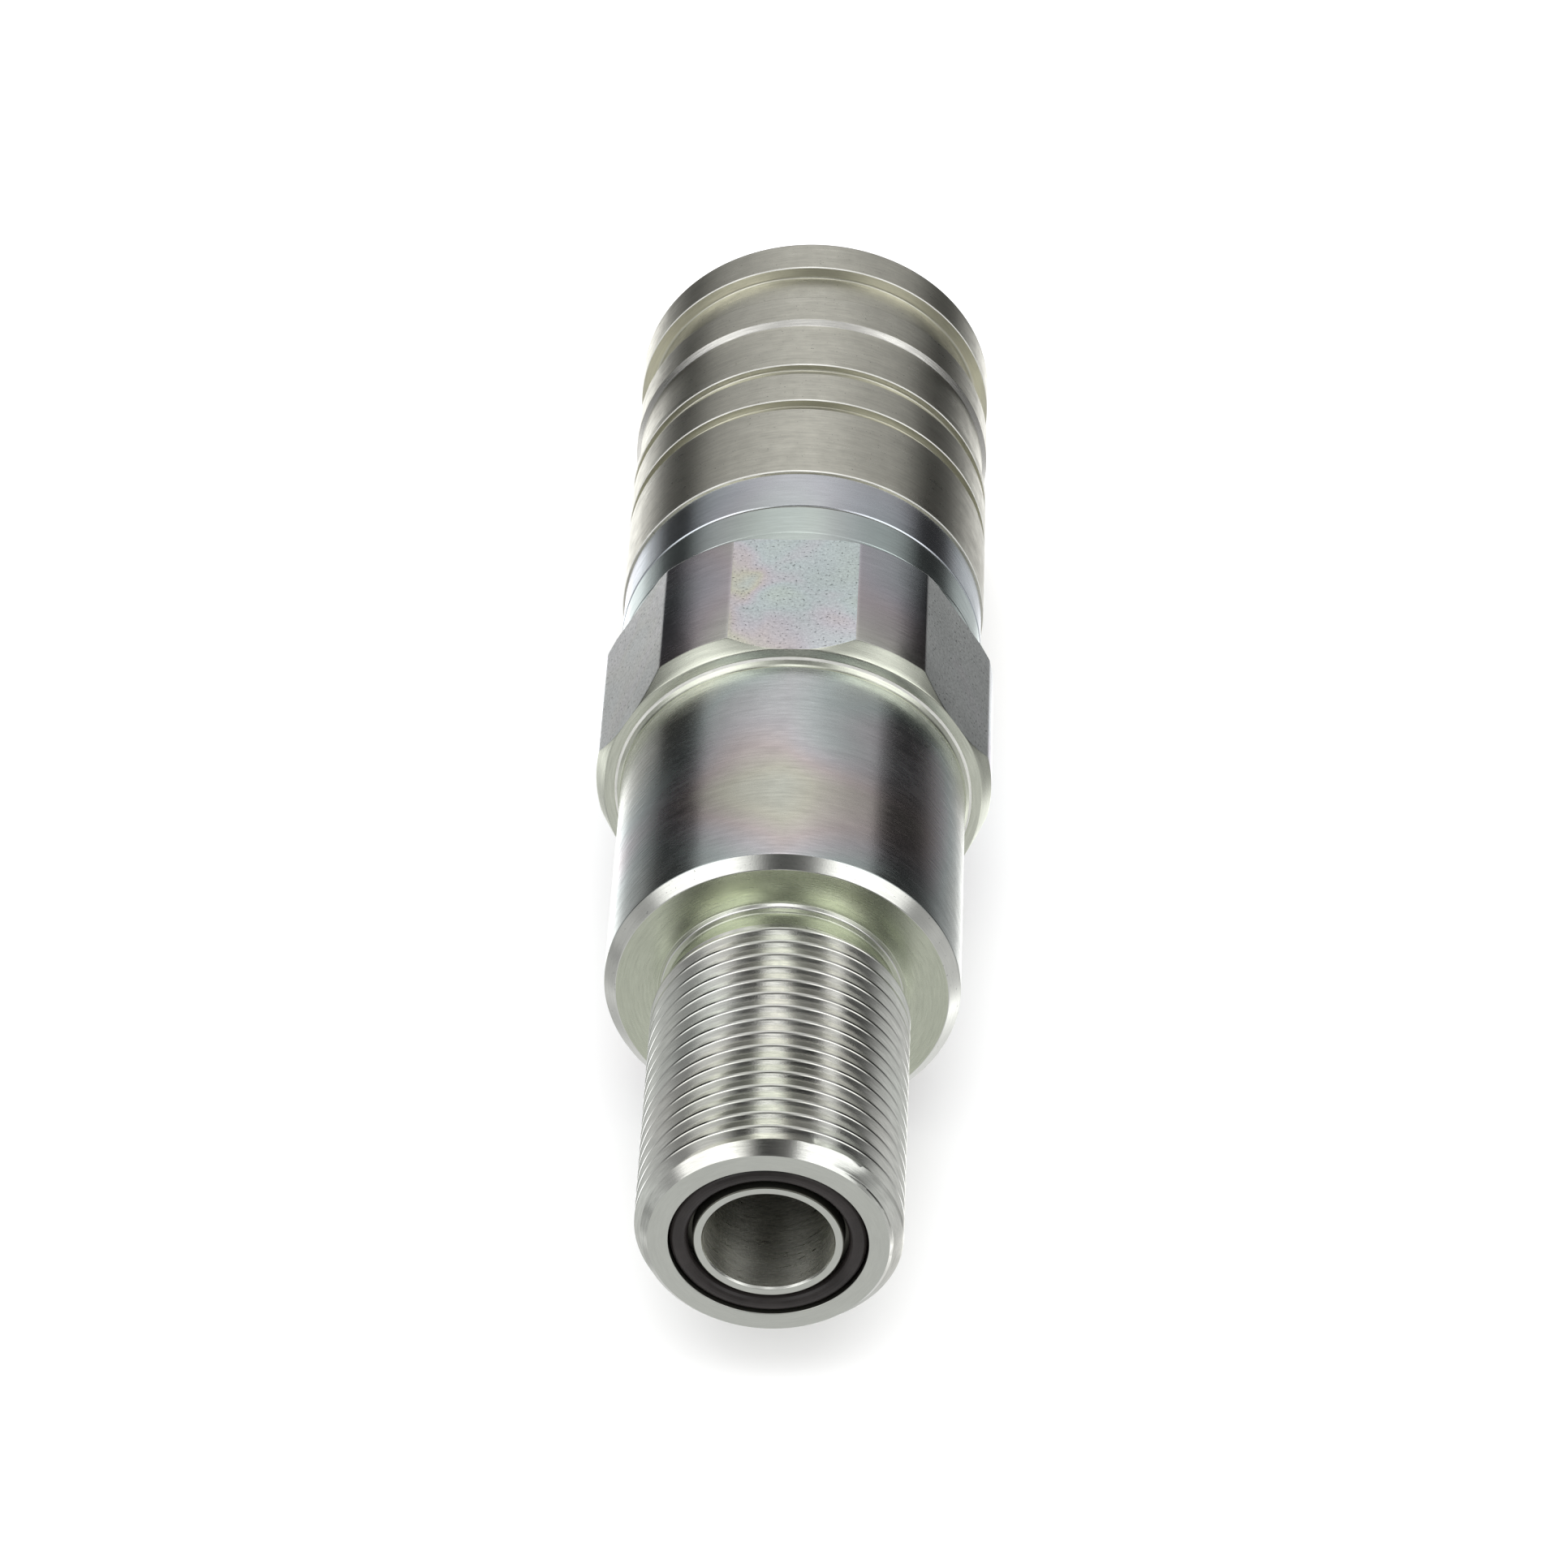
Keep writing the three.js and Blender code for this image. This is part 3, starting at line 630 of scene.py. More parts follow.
def hexagon_angles():
    """Column angles that follow the edges between the hexagon's flats and its round corners."""
    edge = math.acos(ACROSS_FLATS / 2 / CORNER_RADIUS)
    near = [math.radians(step) for step in (-0.7, -0.45, -0.22, 0, 0.22, 0.45, 0.7)]
    edges = [flat * math.pi / 3 + side * edge for flat in range(6) for side in (-1, 1)]
    extra = [(place_of_edge + step) % (2 * math.pi) for place_of_edge in edges for step in near]
    even = np.linspace(0, 2 * math.pi, COLUMNS + 1)
    return np.unique(np.round(np.concatenate((even, extra)), 7))


def soft_min(a, b, size):
    """The smaller of two radii, with the edge between them rounded over."""
    near = np.clip(size - np.abs(a - b), 0, None) / size
    return np.minimum(a, b) - near ** 2 * size / 4


def thread_rows(angles):
    """Rows that climb with the right-hand thread, held between its chamfered start and its neck."""
    half_ridge = [
        (0.05, THREAD_ROOT), (0.085, THREAD_ROOT + 0.05), (0.105, THREAD_ROOT + 0.11),
        (0.38, THREAD_CREST - 0.11), (0.40, THREAD_CREST - 0.05), (0.435, THREAD_CREST),
    ]
    falling = [(1 - rise, radius) for rise, radius in reversed(half_ridge)]
    ridge = [(0.0, THREAD_ROOT), *half_ridge, *falling]
    run_out = THREAD_END + THREAD_CREST - NECK_RADIUS
    turns = math.ceil(run_out / THREAD_PITCH) + 1
    rows = []
    for turn in range(-1, turns):
        for rise, radius in ridge:
            station = THREAD_PITCH * (turn + rise + angles / (2 * math.pi))
            station = np.clip(station, 0, run_out)
            blank = np.minimum(FACE_RADIUS + station, THREAD_CREST)
            blank = np.minimum(blank, NECK_RADIUS + run_out - station)
            rows.append((np.minimum(blank, radius), station, "thread_plate"))
    return rows


def hexagon_rows(angles):
    """Rows over the hexagon: front face, chamfer, flats with round corners, and rear chamfer."""
    across = (angles + math.pi / 6) % (math.pi / 3) - math.pi / 6
    flat = ACROSS_FLATS / 2 / np.cos(across)
    side = soft_min(flat, CORNER_RADIUS, HEX_ROUNDING)
    on_flat = flat[:-1] / 2 + flat[1:] / 2 < CORNER_RADIUS
    sides = ["hex_flat" if level else "hex_corner" for level in on_flat]
    rise = np.clip(side - HEX_FACE_RADIUS, 0, None)
    front_edge = HEX_START + HEX_SLOPE * rise
    rear_edge = HEX_END - np.clip(side - CORNER_RADIUS + HEX_REAR_CHAMFER, 0, None)
    face_edge = np.minimum(side, HEX_FACE_RADIUS)
    first = HEX_START + 0.05  # the first row past the front face

    def row(station, finish):
        """One row, at a station for each angle, within the flats and both chamfers."""
        front = HEX_FACE_RADIUS + (station - HEX_START) / HEX_SLOPE
        rear = CORNER_RADIUS - HEX_REAR_CHAMFER + (HEX_END - station)
        return soft_min(side, np.minimum(front, rear), CONE_ROUNDING), station, finish

    rows = [
        (face_edge - 0.12, HEX_START, "hex_chamfer"),
        (face_edge - 0.03, HEX_START + 0.02, "hex_chamfer"),
    ]
    for share in (0.06, 0.35, 0.7):
        station = first + share * np.clip(front_edge - first - 0.05, 0, None)
        rows.append(row(station, "hex_chamfer"))
    for step in (-0.1, -0.05, 0, 0.05, 0.12):
        finish = "hex_chamfer" if step < 0 else sides
        rows.append(row(np.maximum(front_edge + step, first), finish))
    for share in (0.25, 0.5, 0.75):
        rows.append(row(front_edge + (rear_edge - front_edge) * share, sides))
    for step in (0.12, 0.05, 0, -0.05, -0.1):
        finish = sides if step > 0.05 else "chamfer_plate"
        rows.append(row(np.minimum(rear_edge - step, HEX_END - 0.03), finish))
    rear_face = np.minimum(side, CORNER_RADIUS - HEX_REAR_CHAMFER)
    rows.append((rear_face - 0.06, HEX_END, "ring_plate"))
    return rows


def port_front():
    """Corners of the chamber, the bore, the face and its seal groove."""
    inner, outer, depth = FACE_GROOVE
    return [
        (SPIGOT_BORE, CHAMBER_END, 0, "bore_plate"),
        (CHAMBER, CHAMBER_END, 0.1, "bore_plate"),
        (CHAMBER, CHAMBER_START, 0.3, "bore_plate"),
        (FLOW_BORE, CHAMBER_START - CHAMBER + FLOW_BORE, 0.3, "bore_plate"),
        (FLOW_BORE, NOSE + 0.25, 0.1, "chamfer_plate"),
        (FLOW_BORE + LIP, NOSE, 0.06, "face_plate"),
        # the seal groove's dark finish is painted shade
        (inner, NOSE, 0.12, "groove_plate"),
        (inner, depth, 0.15, "groove_plate"),
        (outer, depth, 0.15, "groove_plate"),
        (outer, 0, 0.08, "face_plate"),
        (FACE_RADIUS, 0, 0, "thread_plate"),
    ]


def port_middle():
    """Corners of the neck, the shoulder, the barrel and its flare up to the hexagon."""
    return [
        (NECK_RADIUS, NECK_START, 0, "neck_plate"),
        (NECK_RADIUS, NECK_STEP, 0.2, "neck_plate"),
        (NECK_RADIUS + 0.55, NECK_STEP + 0.2, 0.25, "chamfer_plate"),
        (NECK_RADIUS + 0.75, SHOULDER, 0.15, "neck_plate"),
        (BARREL_RADIUS - 1.15, SHOULDER, 0.12, "chamfer_plate"),
        (BARREL_RADIUS, BARREL_START, 0.18, "barrel_plate"),
        (BARREL_RADIUS, BARREL_END, 0.5, "hex_chamfer"),
        # the bright line in front of the hexagon is a painted highlight
        (BARREL_RADIUS + 0.42, HEX_START - 0.2, 0.06, "worn_edge"),
        (BARREL_RADIUS + 0.66, HEX_START - 0.06, 0.04, "hex_chamfer"),
        (BARREL_RADIUS + 0.75, HEX_START, 0.1, "hex_chamfer"),
    ]


def port_rear():
    """Corners of the rear ring, with the line round it, and of its end face."""
    line_start, line_end, line_depth = RING_LINE
    end = start_of("stop_collar")
    return [
        (RING_RADIUS, HEX_END, 0.25, "ring_plate"),
        (RING_RADIUS, line_start, 0.03, "ring_plate"),
        (RING_RADIUS - line_depth, line_start + 0.07, 0.03, "ring_plate"),
        (RING_RADIUS - line_depth, line_end - 0.07, 0.03, "ring_plate"),
        (RING_RADIUS, line_end, 0.03, "ring_plate"),
        (RING_RADIUS, end - RING_EDGE, 0.1, "chamfer_plate"),
        (RING_RADIUS - RING_EDGE, end, 0.06, "bore_plate"),
        (SPIGOT_BORE, end, 0.2, "bore_plate"),
    ]


def port_body():
    """The threaded port, barrel, hexagon and rear ring, all turned from one bar."""
    angles = hexagon_angles()
    front, middle, rear = port_front(), port_middle(), port_rear()
    rows = held(rounded(front + middle[:1])[:-1]) + thread_rows(angles)
    rows += held(rounded(middle)) + hexagon_rows(angles)
    rows += held(rounded(rear + front[:1]))[:-1]
    return skin("port_body_turned", rows, angles)


place(port_body(), "port_body")
place(round_ring("face_seal", 0.89, shift=-0.02), "face_seal")


# ---------------- stop collar and sleeve

def stop_collar():
    """The narrow ring that the sleeve butts against."""
    start, end, radius = size_of("stop_collar")
    edge = 0.12
    return turned("stop_collar_turned", [
        (SPIGOT_BORE, start, 0.1, "bore_plate"), (radius - edge, start, 0.05, "collar_plate"),
        (radius, start + edge, 0.06, "collar_plate"), (radius, end - edge, 0.06, "chamfer_plate"),
        (radius - edge, end, 0.04, "bore_plate"), (SPIGOT_BORE, end, 0.1, "bore_plate"),
    ])


place(stop_collar(), "stop_collar")


# Grooves round the sleeve: start and end from its rear face, depth, and the fillets of the first
# wall's lip and foot and of the second wall's foot
REAR_GROOVE = (10.65, 12.15, 0.85, 0.07, 0.1, 0.1)
FRONT_GROOVE = (16.8, 18.35, 0.75, 0.07, 0.1, 0.25)
FINGER_GROOVE = (30.46, 35.8, 1.35, 0.09, 0.2, 0.25)
NAME_BAND = (19.5, 25.85, 26.45, 0.45)  # start, start and end of its slope, depth
MOUTH_CHAMFER = (0.85, 0.72)  # length and height
SPRING_ROOM = 16.6  # radius inside the sleeve behind the ball relief
BALL_RELIEF = 15.45
RELIEF_START = 115.6
LAND = 14.2  # radius of the land that holds the balls in
LAND_START = 124.6
LAND_EDGE = 0.45


def locking_sleeve():
    """The sleeve: two retaining-ring grooves, a recessed band, a finger groove, and its inside."""
    start, end, radius = size_of("locking_sleeve")
    plate = "sleeve_plate"

    def edge(station):
        """An edge at the top of a wall: two corners with a bright strip between them, a painted
        highlight.
        """
        return ((radius - 0.07, station, 0, "worn_edge"), (radius, station + 0.15, 0.02, plate))

    def groove(first, last, depth, lip, foot, heel, floor="sleeve_groove"):
        """The corners of a groove that ends in a worn edge."""
        return (
            (radius, start + first, lip, "sleeve_groove"),
            (radius - depth, start + first, foot, floor),
            (radius - depth, start + last, heel, "sleeve_wall"),
            *edge(start + last),
        )

    band_start, slope_start, slope_end, band_depth = NAME_BAND
    chamfer_length, chamfer_height = MOUTH_CHAMFER
    outside = [
        (SPRING_ROOM, start, 0.15, plate), *edge(start), *groove(*REAR_GROOVE),
        *groove(*FRONT_GROOVE), (radius, start + band_start, 0.07, "sleeve_groove"),
        (radius - band_depth, start + band_start, 0.1, plate),
        (radius - band_depth, start + slope_start, 0.1, "sleeve_slope"),
        (radius, start + slope_end, 0.06, plate), *groove(*FINGER_GROOVE, floor=plate),
        (radius, end - chamfer_length, 0.3, plate), (radius - chamfer_height, end, 0.2, plate),
    ]
    ring_start, ring_end = groove_for("sleeve_retaining_ring")
    bore = in_one("valve_steel", [
        (LAND + LAND_EDGE, end, 0.1), (LAND, end - LAND_EDGE, 0.1), (LAND, LAND_START, 0.15),
        (BALL_RELIEF, LAND_START - BALL_RELIEF + LAND, 0.3), (BALL_RELIEF, RELIEF_START, 0.15),
        (SPRING_ROOM, RELIEF_START, 0.15),
        *square(SPRING_ROOM, SPRING_ROOM + RING_DEPTH, ring_end, ring_start),
    ])
    return turned("locking_sleeve_turned", outside + bore)


place(locking_sleeve(), "locking_sleeve")


# ---------------- coupler body and what it holds

def drill(piece, cutters):
    """Cuts closed meshes out of a piece."""
    work = bmesh.new()
    for cutter in cutters:
        work.from_mesh(cutter.data)
        bpy.data.objects.remove(cutter)
    cutter = add_object("cutter", finished_mesh("cutter", work))
    cut = piece.modifiers.new("holes", "BOOLEAN")
    cut.operation = "DIFFERENCE"
    cut.solver = "EXACT"
    cut.object = cutter
    bpy.context.view_layer.update()
    seen = piece.evaluated_get(bpy.context.evaluated_depsgraph_get())
    result = bpy.data.meshes.new_from_object(seen)
    piece.modifiers.clear()
    piece.data = result
    bpy.data.objects.remove(cutter)
    smooth(result)
    return piece


BALLS = range(1, 9)


def ball_centre(index):
    """The centre of a locking ball, in metres."""
    low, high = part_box(f"lock_ball_{index}")
    return (low + high) / 2


def ball_hole(index):
    """A tapered hole along the ball's own radius, so the ball shows inside but can't fall in."""
    inner, lip_end, taper_end, outer = 9.3, 10.62, 11.25, 15  # distances from the axis
    lip, hole = 2.2, 2.56  # radii
    cutter = turned(f"ball_hole_{index}", in_one("valve_steel", [
        (0, inner, 0), (lip, inner, 0), (lip, lip_end, 0),
        (hole, taper_end, 0), (hole, outer, 0), (0, outer, 0),
    ]), columns=48)
    centre = ball_centre(index)
    to_axis = Matrix.Translation((0, -FACE_Y, 0))
    stand = Matrix.Rotation(math.radians(90), 4, "X")
    swing = Matrix.Rotation(math.atan2(centre.x, centre.z), 4, "Y")
    to_ball = Matrix.Translation((0, centre.y, 0))
    cutter.data.transform(to_ball @ swing @ stand @ to_axis)
    return cutter


# The coupler body's seal grooves: floor radius, start and end
JOINT_GROOVE = (10.85, 83.2, 86.8)
NIPPLE_GROOVE = (12.25, 108, 111.6)
SPIGOT = 12.6  # radii of the coupler body
NIPPLE_BORE = 10.3
SEAT_BORE = 7.6
SEAT_START, SEAT_EDGE, SEAT_END = 99.9, 101.5, 103.4


def coupler_outside():
    """Corners over the coupler body's outside, from the spigot to the mouth."""
    start, end, radius = size_of("coupler_body")
    step = end_of("stop_collar")
    ring_groove = groove_for("body_retaining_ring")
    return [
        (CHAMBER, start, 0.2), (SPIGOT - 0.3, start, 0.1), (SPIGOT, start + 0.3, 0.1),
        *square(SPIGOT, *JOINT_GROOVE, 0.08, 0.15), (SPIGOT, step, 0.1), (radius, step, 0.15),
        *square(radius, radius - RING_DEPTH, *ring_groove, 0.08, 0.08),
        (radius, end - 0.5, 0.2), (radius - 0.5, end, 0.15),
    ]


def coupler_inside():
    """Corners through the coupler body's inside, from the mouth back to the valve's guide."""
    end = end_of("coupler_body")
    seal_floor, seal_start, seal_end = NIPPLE_GROOVE
    ring_start, ring_end = groove_for("guide_retaining_ring")
    return [
        (NIPPLE_BORE + 1, end, 0.2), (NIPPLE_BORE, end - 1.7, 0.4),
        *square(NIPPLE_BORE, seal_floor, seal_end, seal_start),
        (NIPPLE_BORE, SEAT_END, 0.3), (SEAT_BORE, SEAT_END, 0.15),
        (SEAT_BORE, SEAT_EDGE, 0.1), (CHAMBER, SEAT_START, 0.1),
        *square(CHAMBER, CHAMBER + GUIDE_RING_DEPTH, ring_end, ring_start, 0.05, 0.05),
    ]


def coupler_body():
    """The tube inside the sleeve, with its seal grooves, valve seat and ball holes."""
    corners = in_one("valve_steel", coupler_outside() + coupler_inside())
    tube = turned("coupler_body_turned", corners, columns=FINE_COLUMNS)
    return drill(tube, [ball_hole(index) for index in BALLS])


place(coupler_body(), "coupler_body")


def lock_ball(index):
    """One polished ball at its own place."""
    low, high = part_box(f"lock_ball_{index}")
    name = f"lock_ball_{index}_polished"
    work = bmesh.new()
    bmesh.ops.create_uvsphere(work, u_segments=40, v_segments=24, radius=(high.y - low.y) / 2)
    mesh = finished_mesh(name, work)
    mesh.transform(Matrix.Translation(ball_centre(index)))
    mesh.materials.append(material("ball_steel"))
    mesh.shade_smooth()
    return add_object(name, mesh)


for number in BALLS:
    place(lock_ball(number), f"lock_ball_{number}")


def flat_ring(node, inner, finish):
    """A flat washer or backup ring that fills its node's box."""
    start, end, outer = size_of(node)
    corners = square(inner, outer, start, end, 0.08, 0.08)
    return turned(f"{node}_turned", in_one(finish, corners))


for node, size in (("joint_seal", 0.85), ("nipple_seal", 1.0)):
    place(round_ring(node, size), node)
for node, inner, finish in (
    ("joint_backup_ring", 10.95, "backup_plastic"), ("nipple_backup_ring", 10.4, "backup_plastic"),
    ("sleeve_spring_washer", 14.2, "ring_steel"), ("body_spring_washer", 14.2, "ring_steel"),
):
    place(flat_ring(node, inner, finish), node)


def gapped_ring(node, inner, outer, gap_degrees):
    """A retaining ring: flat, with rounded edges and a gap between its ends."""
    start, end, _ = size_of(node)
    section = rounded(in_one("ring_steel", square(inner, outer, start, end)))
    gap = math.radians(gap_degrees)
    first = math.pi / 2 + gap / 2
    turns = np.linspace(first, first + 2 * math.pi - gap, 160)
    points = [at(radius, station, turn) for turn in turns for radius, station, _ in section]
    faces = tube_faces(len(turns), len(section))
    return closed(f"{node}_formed", points, faces, ["ring_steel"])


for node, inner, outer, gap in (
    ("sleeve_retaining_ring", 14.8, 17.3, 24), ("body_retaining_ring", 13.3, 15.4, 30),
    ("guide_retaining_ring", 8.0, 9.85, 40),
):
    place(gapped_ring(node, inner, outer, gap), node)


def coil_spring(node, seats, wire_radius, coil_radius, turns):
    """A compression spring between two stations, its end coils laid flat."""
    low, high = seats[0] + wire_radius, seats[1] - wire_radius
    end_turn, end_rise = 0.75, 2.1 * wire_radius * 0.75
    knots_turn = [0, end_turn, turns - end_turn, turns]
    knots_rise = [low, low + end_rise, high - end_rise, high]
    steps, sides = int(turns * 36), 12
    points = []
    for turn in np.linspace(0, turns, steps + 1):
        station = float(np.interp(turn, knots_turn, knots_rise))
        for side in range(sides):
            a = 2 * math.pi * side / sides
            radius = coil_radius + wire_radius * math.cos(a)
            points.append(at(radius, station + wire_radius * math.sin(a), 2 * math.pi * turn))
    faces = tube_faces(steps + 1, sides)
    return closed(f"{node}_coil", points, faces, ["spring_wire"])


def add_spring(node, joint, seats, fixed, *size):
    """A spring coiled at rest between its seats; joint and fixed are not used."""
    spring = place(coil_spring(node, seats, *size), node)
    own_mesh(spring)


POPPET_BACK = 94.6  # the back of the poppet's head, where its spring ends

sleeve_seats = (end_of("sleeve_spring_washer"), start_of("body_spring_washer"))
add_spring("sleeve_spring", "sleeve_slide", sleeve_seats, 1, 0.8, 15.3, 4.5)
poppet_seats = (end_of("valve_guide"), POPPET_BACK)
add_spring("poppet_spring", "poppet_slide", poppet_seats, 0, 0.6, 3.8, 6)


# ---------------- valve

CONE = 108.89  # radius plus station anywhere on the valve cone
STEM = 2.6
NOSE_TIP = 3.2
SEAL_GROOVE = (7.75, 8.5, 99.4)  # inner radius, outer radius and start


def poppet():
    """The valve's stem, head, cone with its seal groove, and nose."""
    start, end, head = size_of("poppet")
    inner, outer, floor = SEAL_GROOVE
    front = 103.6
    cone_end = 7.4
    return turned("poppet_turned", in_one("valve_steel", [
        (0, start, 0), (STEM - 0.3, start, 0.1), (STEM, start + 0.3, 0.1),
        (STEM, POPPET_BACK, 0.2), (head - 0.6, POPPET_BACK, 0.2),
        (head, POPPET_BACK + 1, 0.2), (head, CONE - head, 0.15),
        (outer, CONE - outer, 0.05), (outer, floor, 0), (inner, floor, 0),
        (inner, CONE - inner, 0.05), (cone_end, CONE - cone_end, 0.1),
        (cone_end, front - 0.6, 0.1), (cone_end - 0.6, front, 0.1),
        (NOSE_TIP, front, 0.5), (NOSE_TIP, end - 0.6, 0.2),
        (NOSE_TIP - 0.6, end, 0.2), (0, end, 0),
    ]))


place(poppet(), "poppet")


def poppet_seal():
    """The seal bonded into the cone's groove, with its slanted front."""
    start, end, _ = size_of("poppet_seal")
    inner, outer = SEAL_GROOVE[0] + 0.1, SEAL_GROOVE[1] - 0.05
    return turned("poppet_seal_ring", in_one("black_rubber", [
        (inner, start, 0.1), (outer, start, 0.1), (outer, CONE - outer, 0.1),
        (inner + 0.1, end, 0.1), (inner, end, 0.02),
    ]))


place(poppet_seal(), "poppet_seal")


def guide_window(index):
    """The opening between two spokes of the valve's guide, as a closed mesh to cut with."""
    rim, hub, half_spoke = 7.9, 4.6, 1.1
    third = math.pi / 3
    middle = third + 2 * third * index
    outline = [(rim, middle + (third - half_spoke / rim) * t) for t in np.linspace(-1, 1, 24)]
    outline += [(hub, middle + (third - half_spoke / hub) * t) for t in np.linspace(1, -1, 16)]
    ends = (start_of("valve_guide") - 1, end_of("valve_guide") + 1)
    points = [at(radius, station, angle) for station in ends for radius, angle in outline]
    faces = tube_faces(2, len(outline))
    return closed(f"guide_window_{index}", points, faces, ["valve_steel"])


def valve_guide():
    """A rim and a hub joined by three spokes."""
    start, end, outer = size_of("valve_guide")
    corners = square(STEM + 0.2, outer, start, end, 0.1, 0.12)
    disc = turned("valve_guide_turned", in_one("valve_steel", corners), columns=FINE_COLUMNS)
    return drill(disc, [guide_window(index) for index in range(3)])


place(valve_guide(), "valve_guide")


# ---------------- studio

CAMERA_PLACE = (0.02086, cad_box[0].y - 0.3967, 0.3967)
CAMERA_AXES = Matrix((
    (0.99924, -0.01527, 0.03581),
    (0.03712, 0.65053, -0.75857),
    (-0.01171, 0.75933, 0.65061),
))
LENS = 137.8
FLOOR_Z = cad_box[0].z - 0.0001


def camera():
    """The camera at the photograph's place."""
    data = bpy.data.cameras.new("camera")
    data.lens = LENS
    data.sensor_width = 36
    data.clip_start = 0.01
    data.clip_end = 20
    made = add_object("camera", data)
    made.matrix_world = Matrix.Translation(CAMERA_PLACE) @ CAMERA_AXES.to_4x4()
    bpy.context.scene.camera = made


def only_mirrored(name, corners, paint):
    """Adds a flat card that only the metal sees."""
    mesh = bpy.data.meshes.new(name)
    mesh.from_pydata(corners, [], [tuple(range(len(corners)))])
    mesh.materials.append(paint)
    made = add_object(name, mesh)
    made.visible_camera = False
    made.visible_diffuse = False
    made.visible_shadow = False
    return made


def floor():
    """A wide pale floor that the coupler rests on by one flat of its hexagon."""
    work = bmesh.new()
    bmesh.ops.create_circle(work, cap_ends=True, segments=96, radius=4.0)
    mesh = finished_mesh("floor", work)
    made = add_object("floor", mesh)
    made.location.z = FLOOR_Z
    made.visible_glossy = False
    paint, sheet = new_material("floor_paint")
    inputs = {"Base Color": grey(0.93), "Roughness": 0.9, "Specular IOR Level": 0.0}
    sheet.finish(sheet.principled(inputs))
    mesh.materials.append(paint)


def lamp():
    """One big soft light overhead, which the metal doesn't mirror."""
    data = bpy.data.lights.new("soft_top", "AREA")
    data.shape = "DISK"
    data.size = 1.6
    data.energy = 6
    made = add_object("soft_top", data)
    made.location = (0, -0.1, 1.5)
    made.rotation_euler = (-made.location).to_track_quat("-Z", "Y").to_euler()
    made.visible_glossy = False


# The tent's brightness by height, from straight down at -1 to straight up at 1: ahead of the
# camera, and behind it
AHEAD = [
    (-1.0, 0.5), (-0.80, 0.8), (-0.70, 1.5), (-0.65, 1.9), (-0.62, 1.9), (-0.58, 1.3),
    (-0.54, 0.85), (-0.50, 0.60), (-0.46, 0.47), (-0.39, 0.37), (-0.30, 0.32), (-0.20, 0.19),
    (-0.12, 0.08), (-0.07, 0.025), (0.05, 0.02), (0.10, 0.07), (0.15, 0.20), (0.25, 0.29),
    (0.35, 0.34), (0.50, 0.41), (0.60, 0.54), (0.66, 0.76), (0.95, 0.80), (1.0, 1.2),
]
BEHIND = [
    (-1.0, 0.56), (-0.40, 0.56), (-0.22, 0.42), (-0.08, 0.10), (0.0, 0.05), (0.32, 0.02),
    (0.42, 0.22), (0.60, 0.40), (0.80, 0.50), (0.96, 0.53), (1.0, 1.2),
]
# Round patches: direction, inner and outer size in degrees, strength
LIGHTS_BEHIND = [
    ((0, -0.94, 0.33), 1, 8, 1.0), ((0.44, -0.88, 0.17), 1, 7, 0.8),
    ((-0.42, -0.89, 0.17), 2, 13, 0.5), ((0.66, -0.55, 0.51), 12, 28, 1.1),
    ((-0.66, -0.55, 0.51), 12, 30, 1.1), ((-0.68, -0.73, 0.0), 4, 16, 0.15),
    ((0.90, -0.42, 0.07), 8, 22, 0.28), ((-0.90, -0.42, 0.07), 8, 22, 0.28),
    ((-0.03, -0.41, 0.91), 3, 12, 0.4),
]
SHADES_BEHIND = [((0.05, -0.65, 0.76), 6, 19, 0.8), ((-0.04, -0.76, 0.65), 4, 10, 0.7)]
SHADES = [
    ((0.43, 0.17, 0.89), 8, 20, 0.85), ((-0.43, 0.17, 0.89), 8, 20, 0.85),
    ((0.36, 0.76, 0.54), 3, 16, 0.2), ((-0.86, -0.05, -0.52), 5, 16, 0.6),
    ((0.64, 0.37, -0.68), 8, 20, 0.45), ((-0.66, 0.37, -0.66), 8, 20, 0.55),
]
ON_DIFFUSE = 1.5  # the tent's even brightness for diffuse surfaces
ON_CAMERA = 0.97  # and for the camera


def by_height(sheet, height, levels):
    """Light that depends only on how far a direction points up or down."""
    stops = [((level_height + 1) / 2, grey(level)) for level_height, level in levels]
    return sheet.ramp(sheet.spread(height, -1, 1), stops)


def patch(sheet, way, direction, inner, outer, strength):
    """A round soft patch about a direction, of the given strength in its middle."""
    facing = sheet.vector("DOT_PRODUCT", way, tuple(Vector(direction).normalized()))
    cos_outer, cos_inner = math.cos(math.radians(outer)), math.cos(math.radians(inner))
    return sheet.spread(facing, cos_outer, cos_inner, 0.0, strength, smooth_step=True)


def shaded(sheet, way, light, shades):
    """The light with round dark patches in it."""
    for shade in shades:
        kept = sheet.math("SUBTRACT", 1.0, patch(sheet, way, *shade))
        light = sheet.mix(1.0, light, kept, "MULTIPLY")
    return light


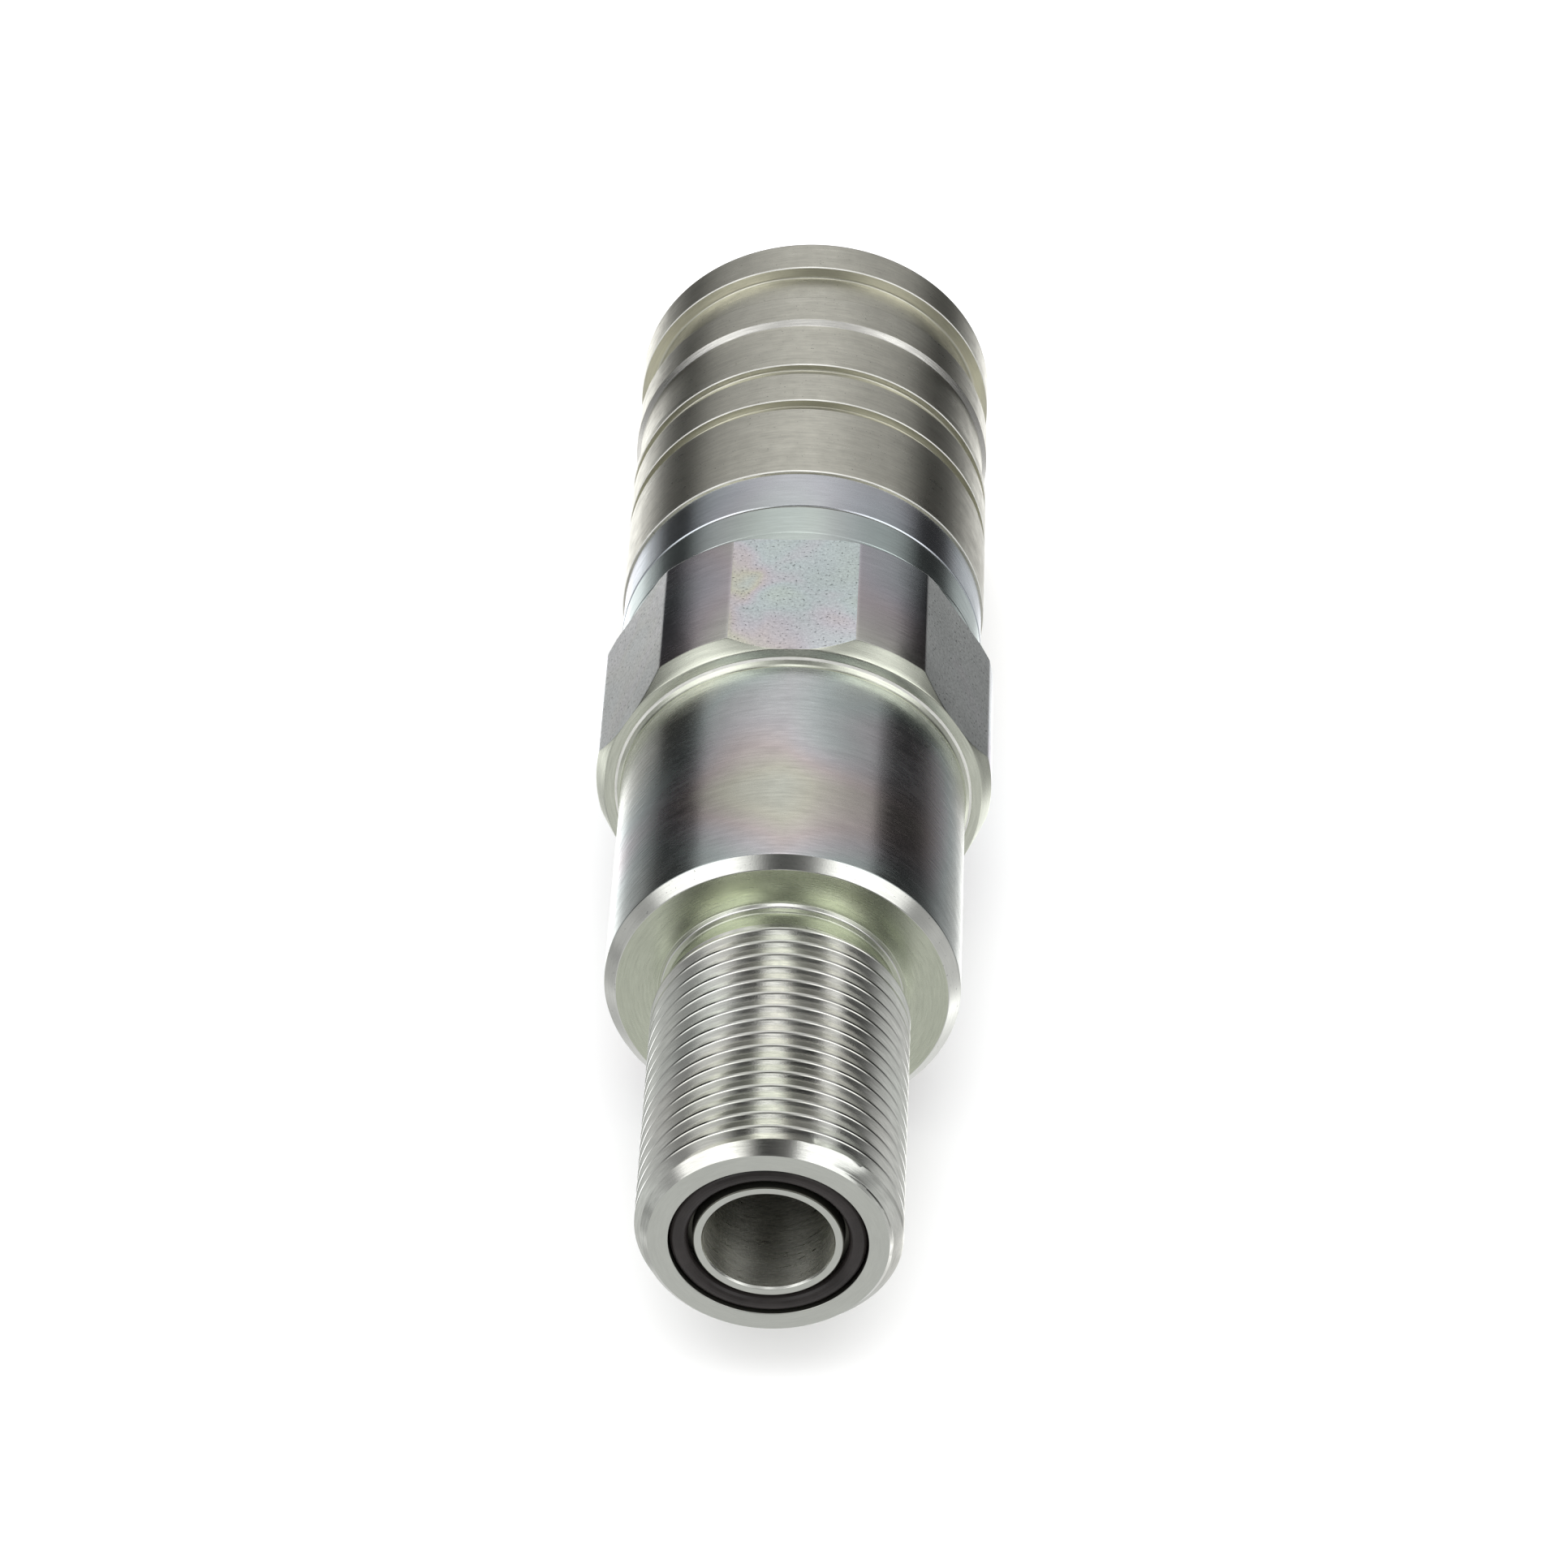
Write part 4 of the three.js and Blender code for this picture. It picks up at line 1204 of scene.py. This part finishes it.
def studio():
    """A light tent: pale below, darker at both sides of the horizon, with soft lights in it."""
    world = bpy.data.worlds.new("studio")
    world.use_nodes = True
    bpy.context.scene.world = world
    sheet = Sheet(world.node_tree)
    way = sheet.node("ShaderNodeTexCoord").outputs["Generated"]
    x, y, z = sheet.split(way)
    lean = sheet.times(sheet.times(x, 0.14), sheet.spread(z, -0.25, 0.0, 1.0, 0.0))
    ahead = by_height(sheet, sheet.add(z, lean), AHEAD)
    behind = by_height(sheet, z, BEHIND)
    for light in LIGHTS_BEHIND:
        behind = sheet.mix(1.0, behind, patch(sheet, way, *light), "ADD")
    behind = shaded(sheet, way, behind, SHADES_BEHIND)
    share = sheet.spread(y, -0.3, 0.25, 1.0, 0.0, smooth_step=True)
    light = sheet.mix(share, ahead, behind)
    strip = sheet.spread(sheet.math("ABSOLUTE", y), 0.10, 0.03, 0.0, 0.6, smooth_step=True)
    strip = sheet.times(strip, sheet.spread(z, 0.5, 0.7, smooth_step=True))
    light = shaded(sheet, way, sheet.mix(1.0, light, strip, "ADD"), SHADES)
    path = sheet.node("ShaderNodeLightPath")
    light = sheet.mix(path.outputs["Is Diffuse Ray"], light, grey(ON_DIFFUSE))
    light = sheet.mix(path.outputs["Is Camera Ray"], light, grey(ON_CAMERA))
    back = sheet.node("ShaderNodeBackground", {"Color": light, "Strength": 1.0})
    sheet.node("ShaderNodeOutputWorld", {"Surface": back.outputs[0]})


def flags():
    """Dark cards at both sides, which the metal shows as the wide dark streaks up front."""
    black, sheet = new_material("flag_cloth")
    cloth = sheet.node("ShaderNodeEmission", {"Color": grey(0.02)})
    sheet.finish(cloth.outputs[0])
    outline = [
        (0.04, 0.0), (0.134, 0.004), (0.184, -0.026), (0.225, -0.03),
        (0.225, 0.018), (0.195, 0.03), (0.172, 0.105), (0.04, 0.115),
    ]
    for name, x in (("flag_left", -0.15), ("flag_right", 0.15)):
        only_mirrored(name, [(x, y, z) for y, z in outline], black)


SHEET_START, SHEET_END, SHEET_HALF = 0.05, 0.25, 0.095  # metres: along the axis, and half its width
SHEET_TOP = 1.9  # its greatest brightness
# The dip in the sheet's brightness under the coupler is a painted shadow
SHEET_LEVELS = [  # its brightness by distance across, in millimetres
    (-95, 0.22), (-85, 0.25), (-72, 0.36), (-60, 0.62), (-50, 1.35), (-40, 1.9), (-30, 1.7),
    (-18, 1.0), (0, 0.5), (18, 1.2), (26, 1.9), (34, 1.5), (42, 0.7), (55, 0.43), (72, 0.38),
    (85, 0.2), (95, 0.2),
]


def sheet_paper():
    """The bright sheet's material, which fades out at its edges."""
    paper, sheet = new_material("bright_sheet")
    x, y, _ = sheet.split(sheet.where())
    stops = [
        ((across * MM + SHEET_HALF) / (2 * SHEET_HALF), grey(level / SHEET_TOP))
        for across, level in SHEET_LEVELS
    ]
    glow = sheet.node("ShaderNodeEmission", {
        "Color": sheet.ramp(sheet.spread(x, -SHEET_HALF, SHEET_HALF), stops),
        "Strength": SHEET_TOP,
    })
    clear = sheet.node("ShaderNodeBsdfTransparent")
    share = sheet.spread(y, SHEET_START, SHEET_START + 0.035, smooth_step=True)
    far_end = sheet.spread(y, SHEET_END, SHEET_END - 0.05, smooth_step=True)
    away = sheet.math("ABSOLUTE", x)
    sides = sheet.spread(away, SHEET_HALF, SHEET_HALF - 0.012, smooth_step=True)
    share = sheet.times(sheet.times(share, far_end), sides)
    blend = sheet.node("ShaderNodeMixShader", {0: share, 1: clear.outputs[0], 2: glow.outputs[0]})
    sheet.finish(blend.outputs[0])
    return paper


def sheet_behind():
    """A glowing sheet on the floor beside the sleeve, with a painted shadow under the coupler."""
    corners = [
        (-SHEET_HALF, SHEET_START, 0), (SHEET_HALF, SHEET_START, 0), (SHEET_HALF, SHEET_END, 0),
        (-SHEET_HALF, SHEET_END, 0),
    ]
    only_mirrored("bright_sheet", corners, sheet_paper()).location.z = FLOOR_Z


camera()
floor()
sheet_behind()
lamp()
flags()
studio()
bpy.context.scene.view_settings.view_transform = "Standard"
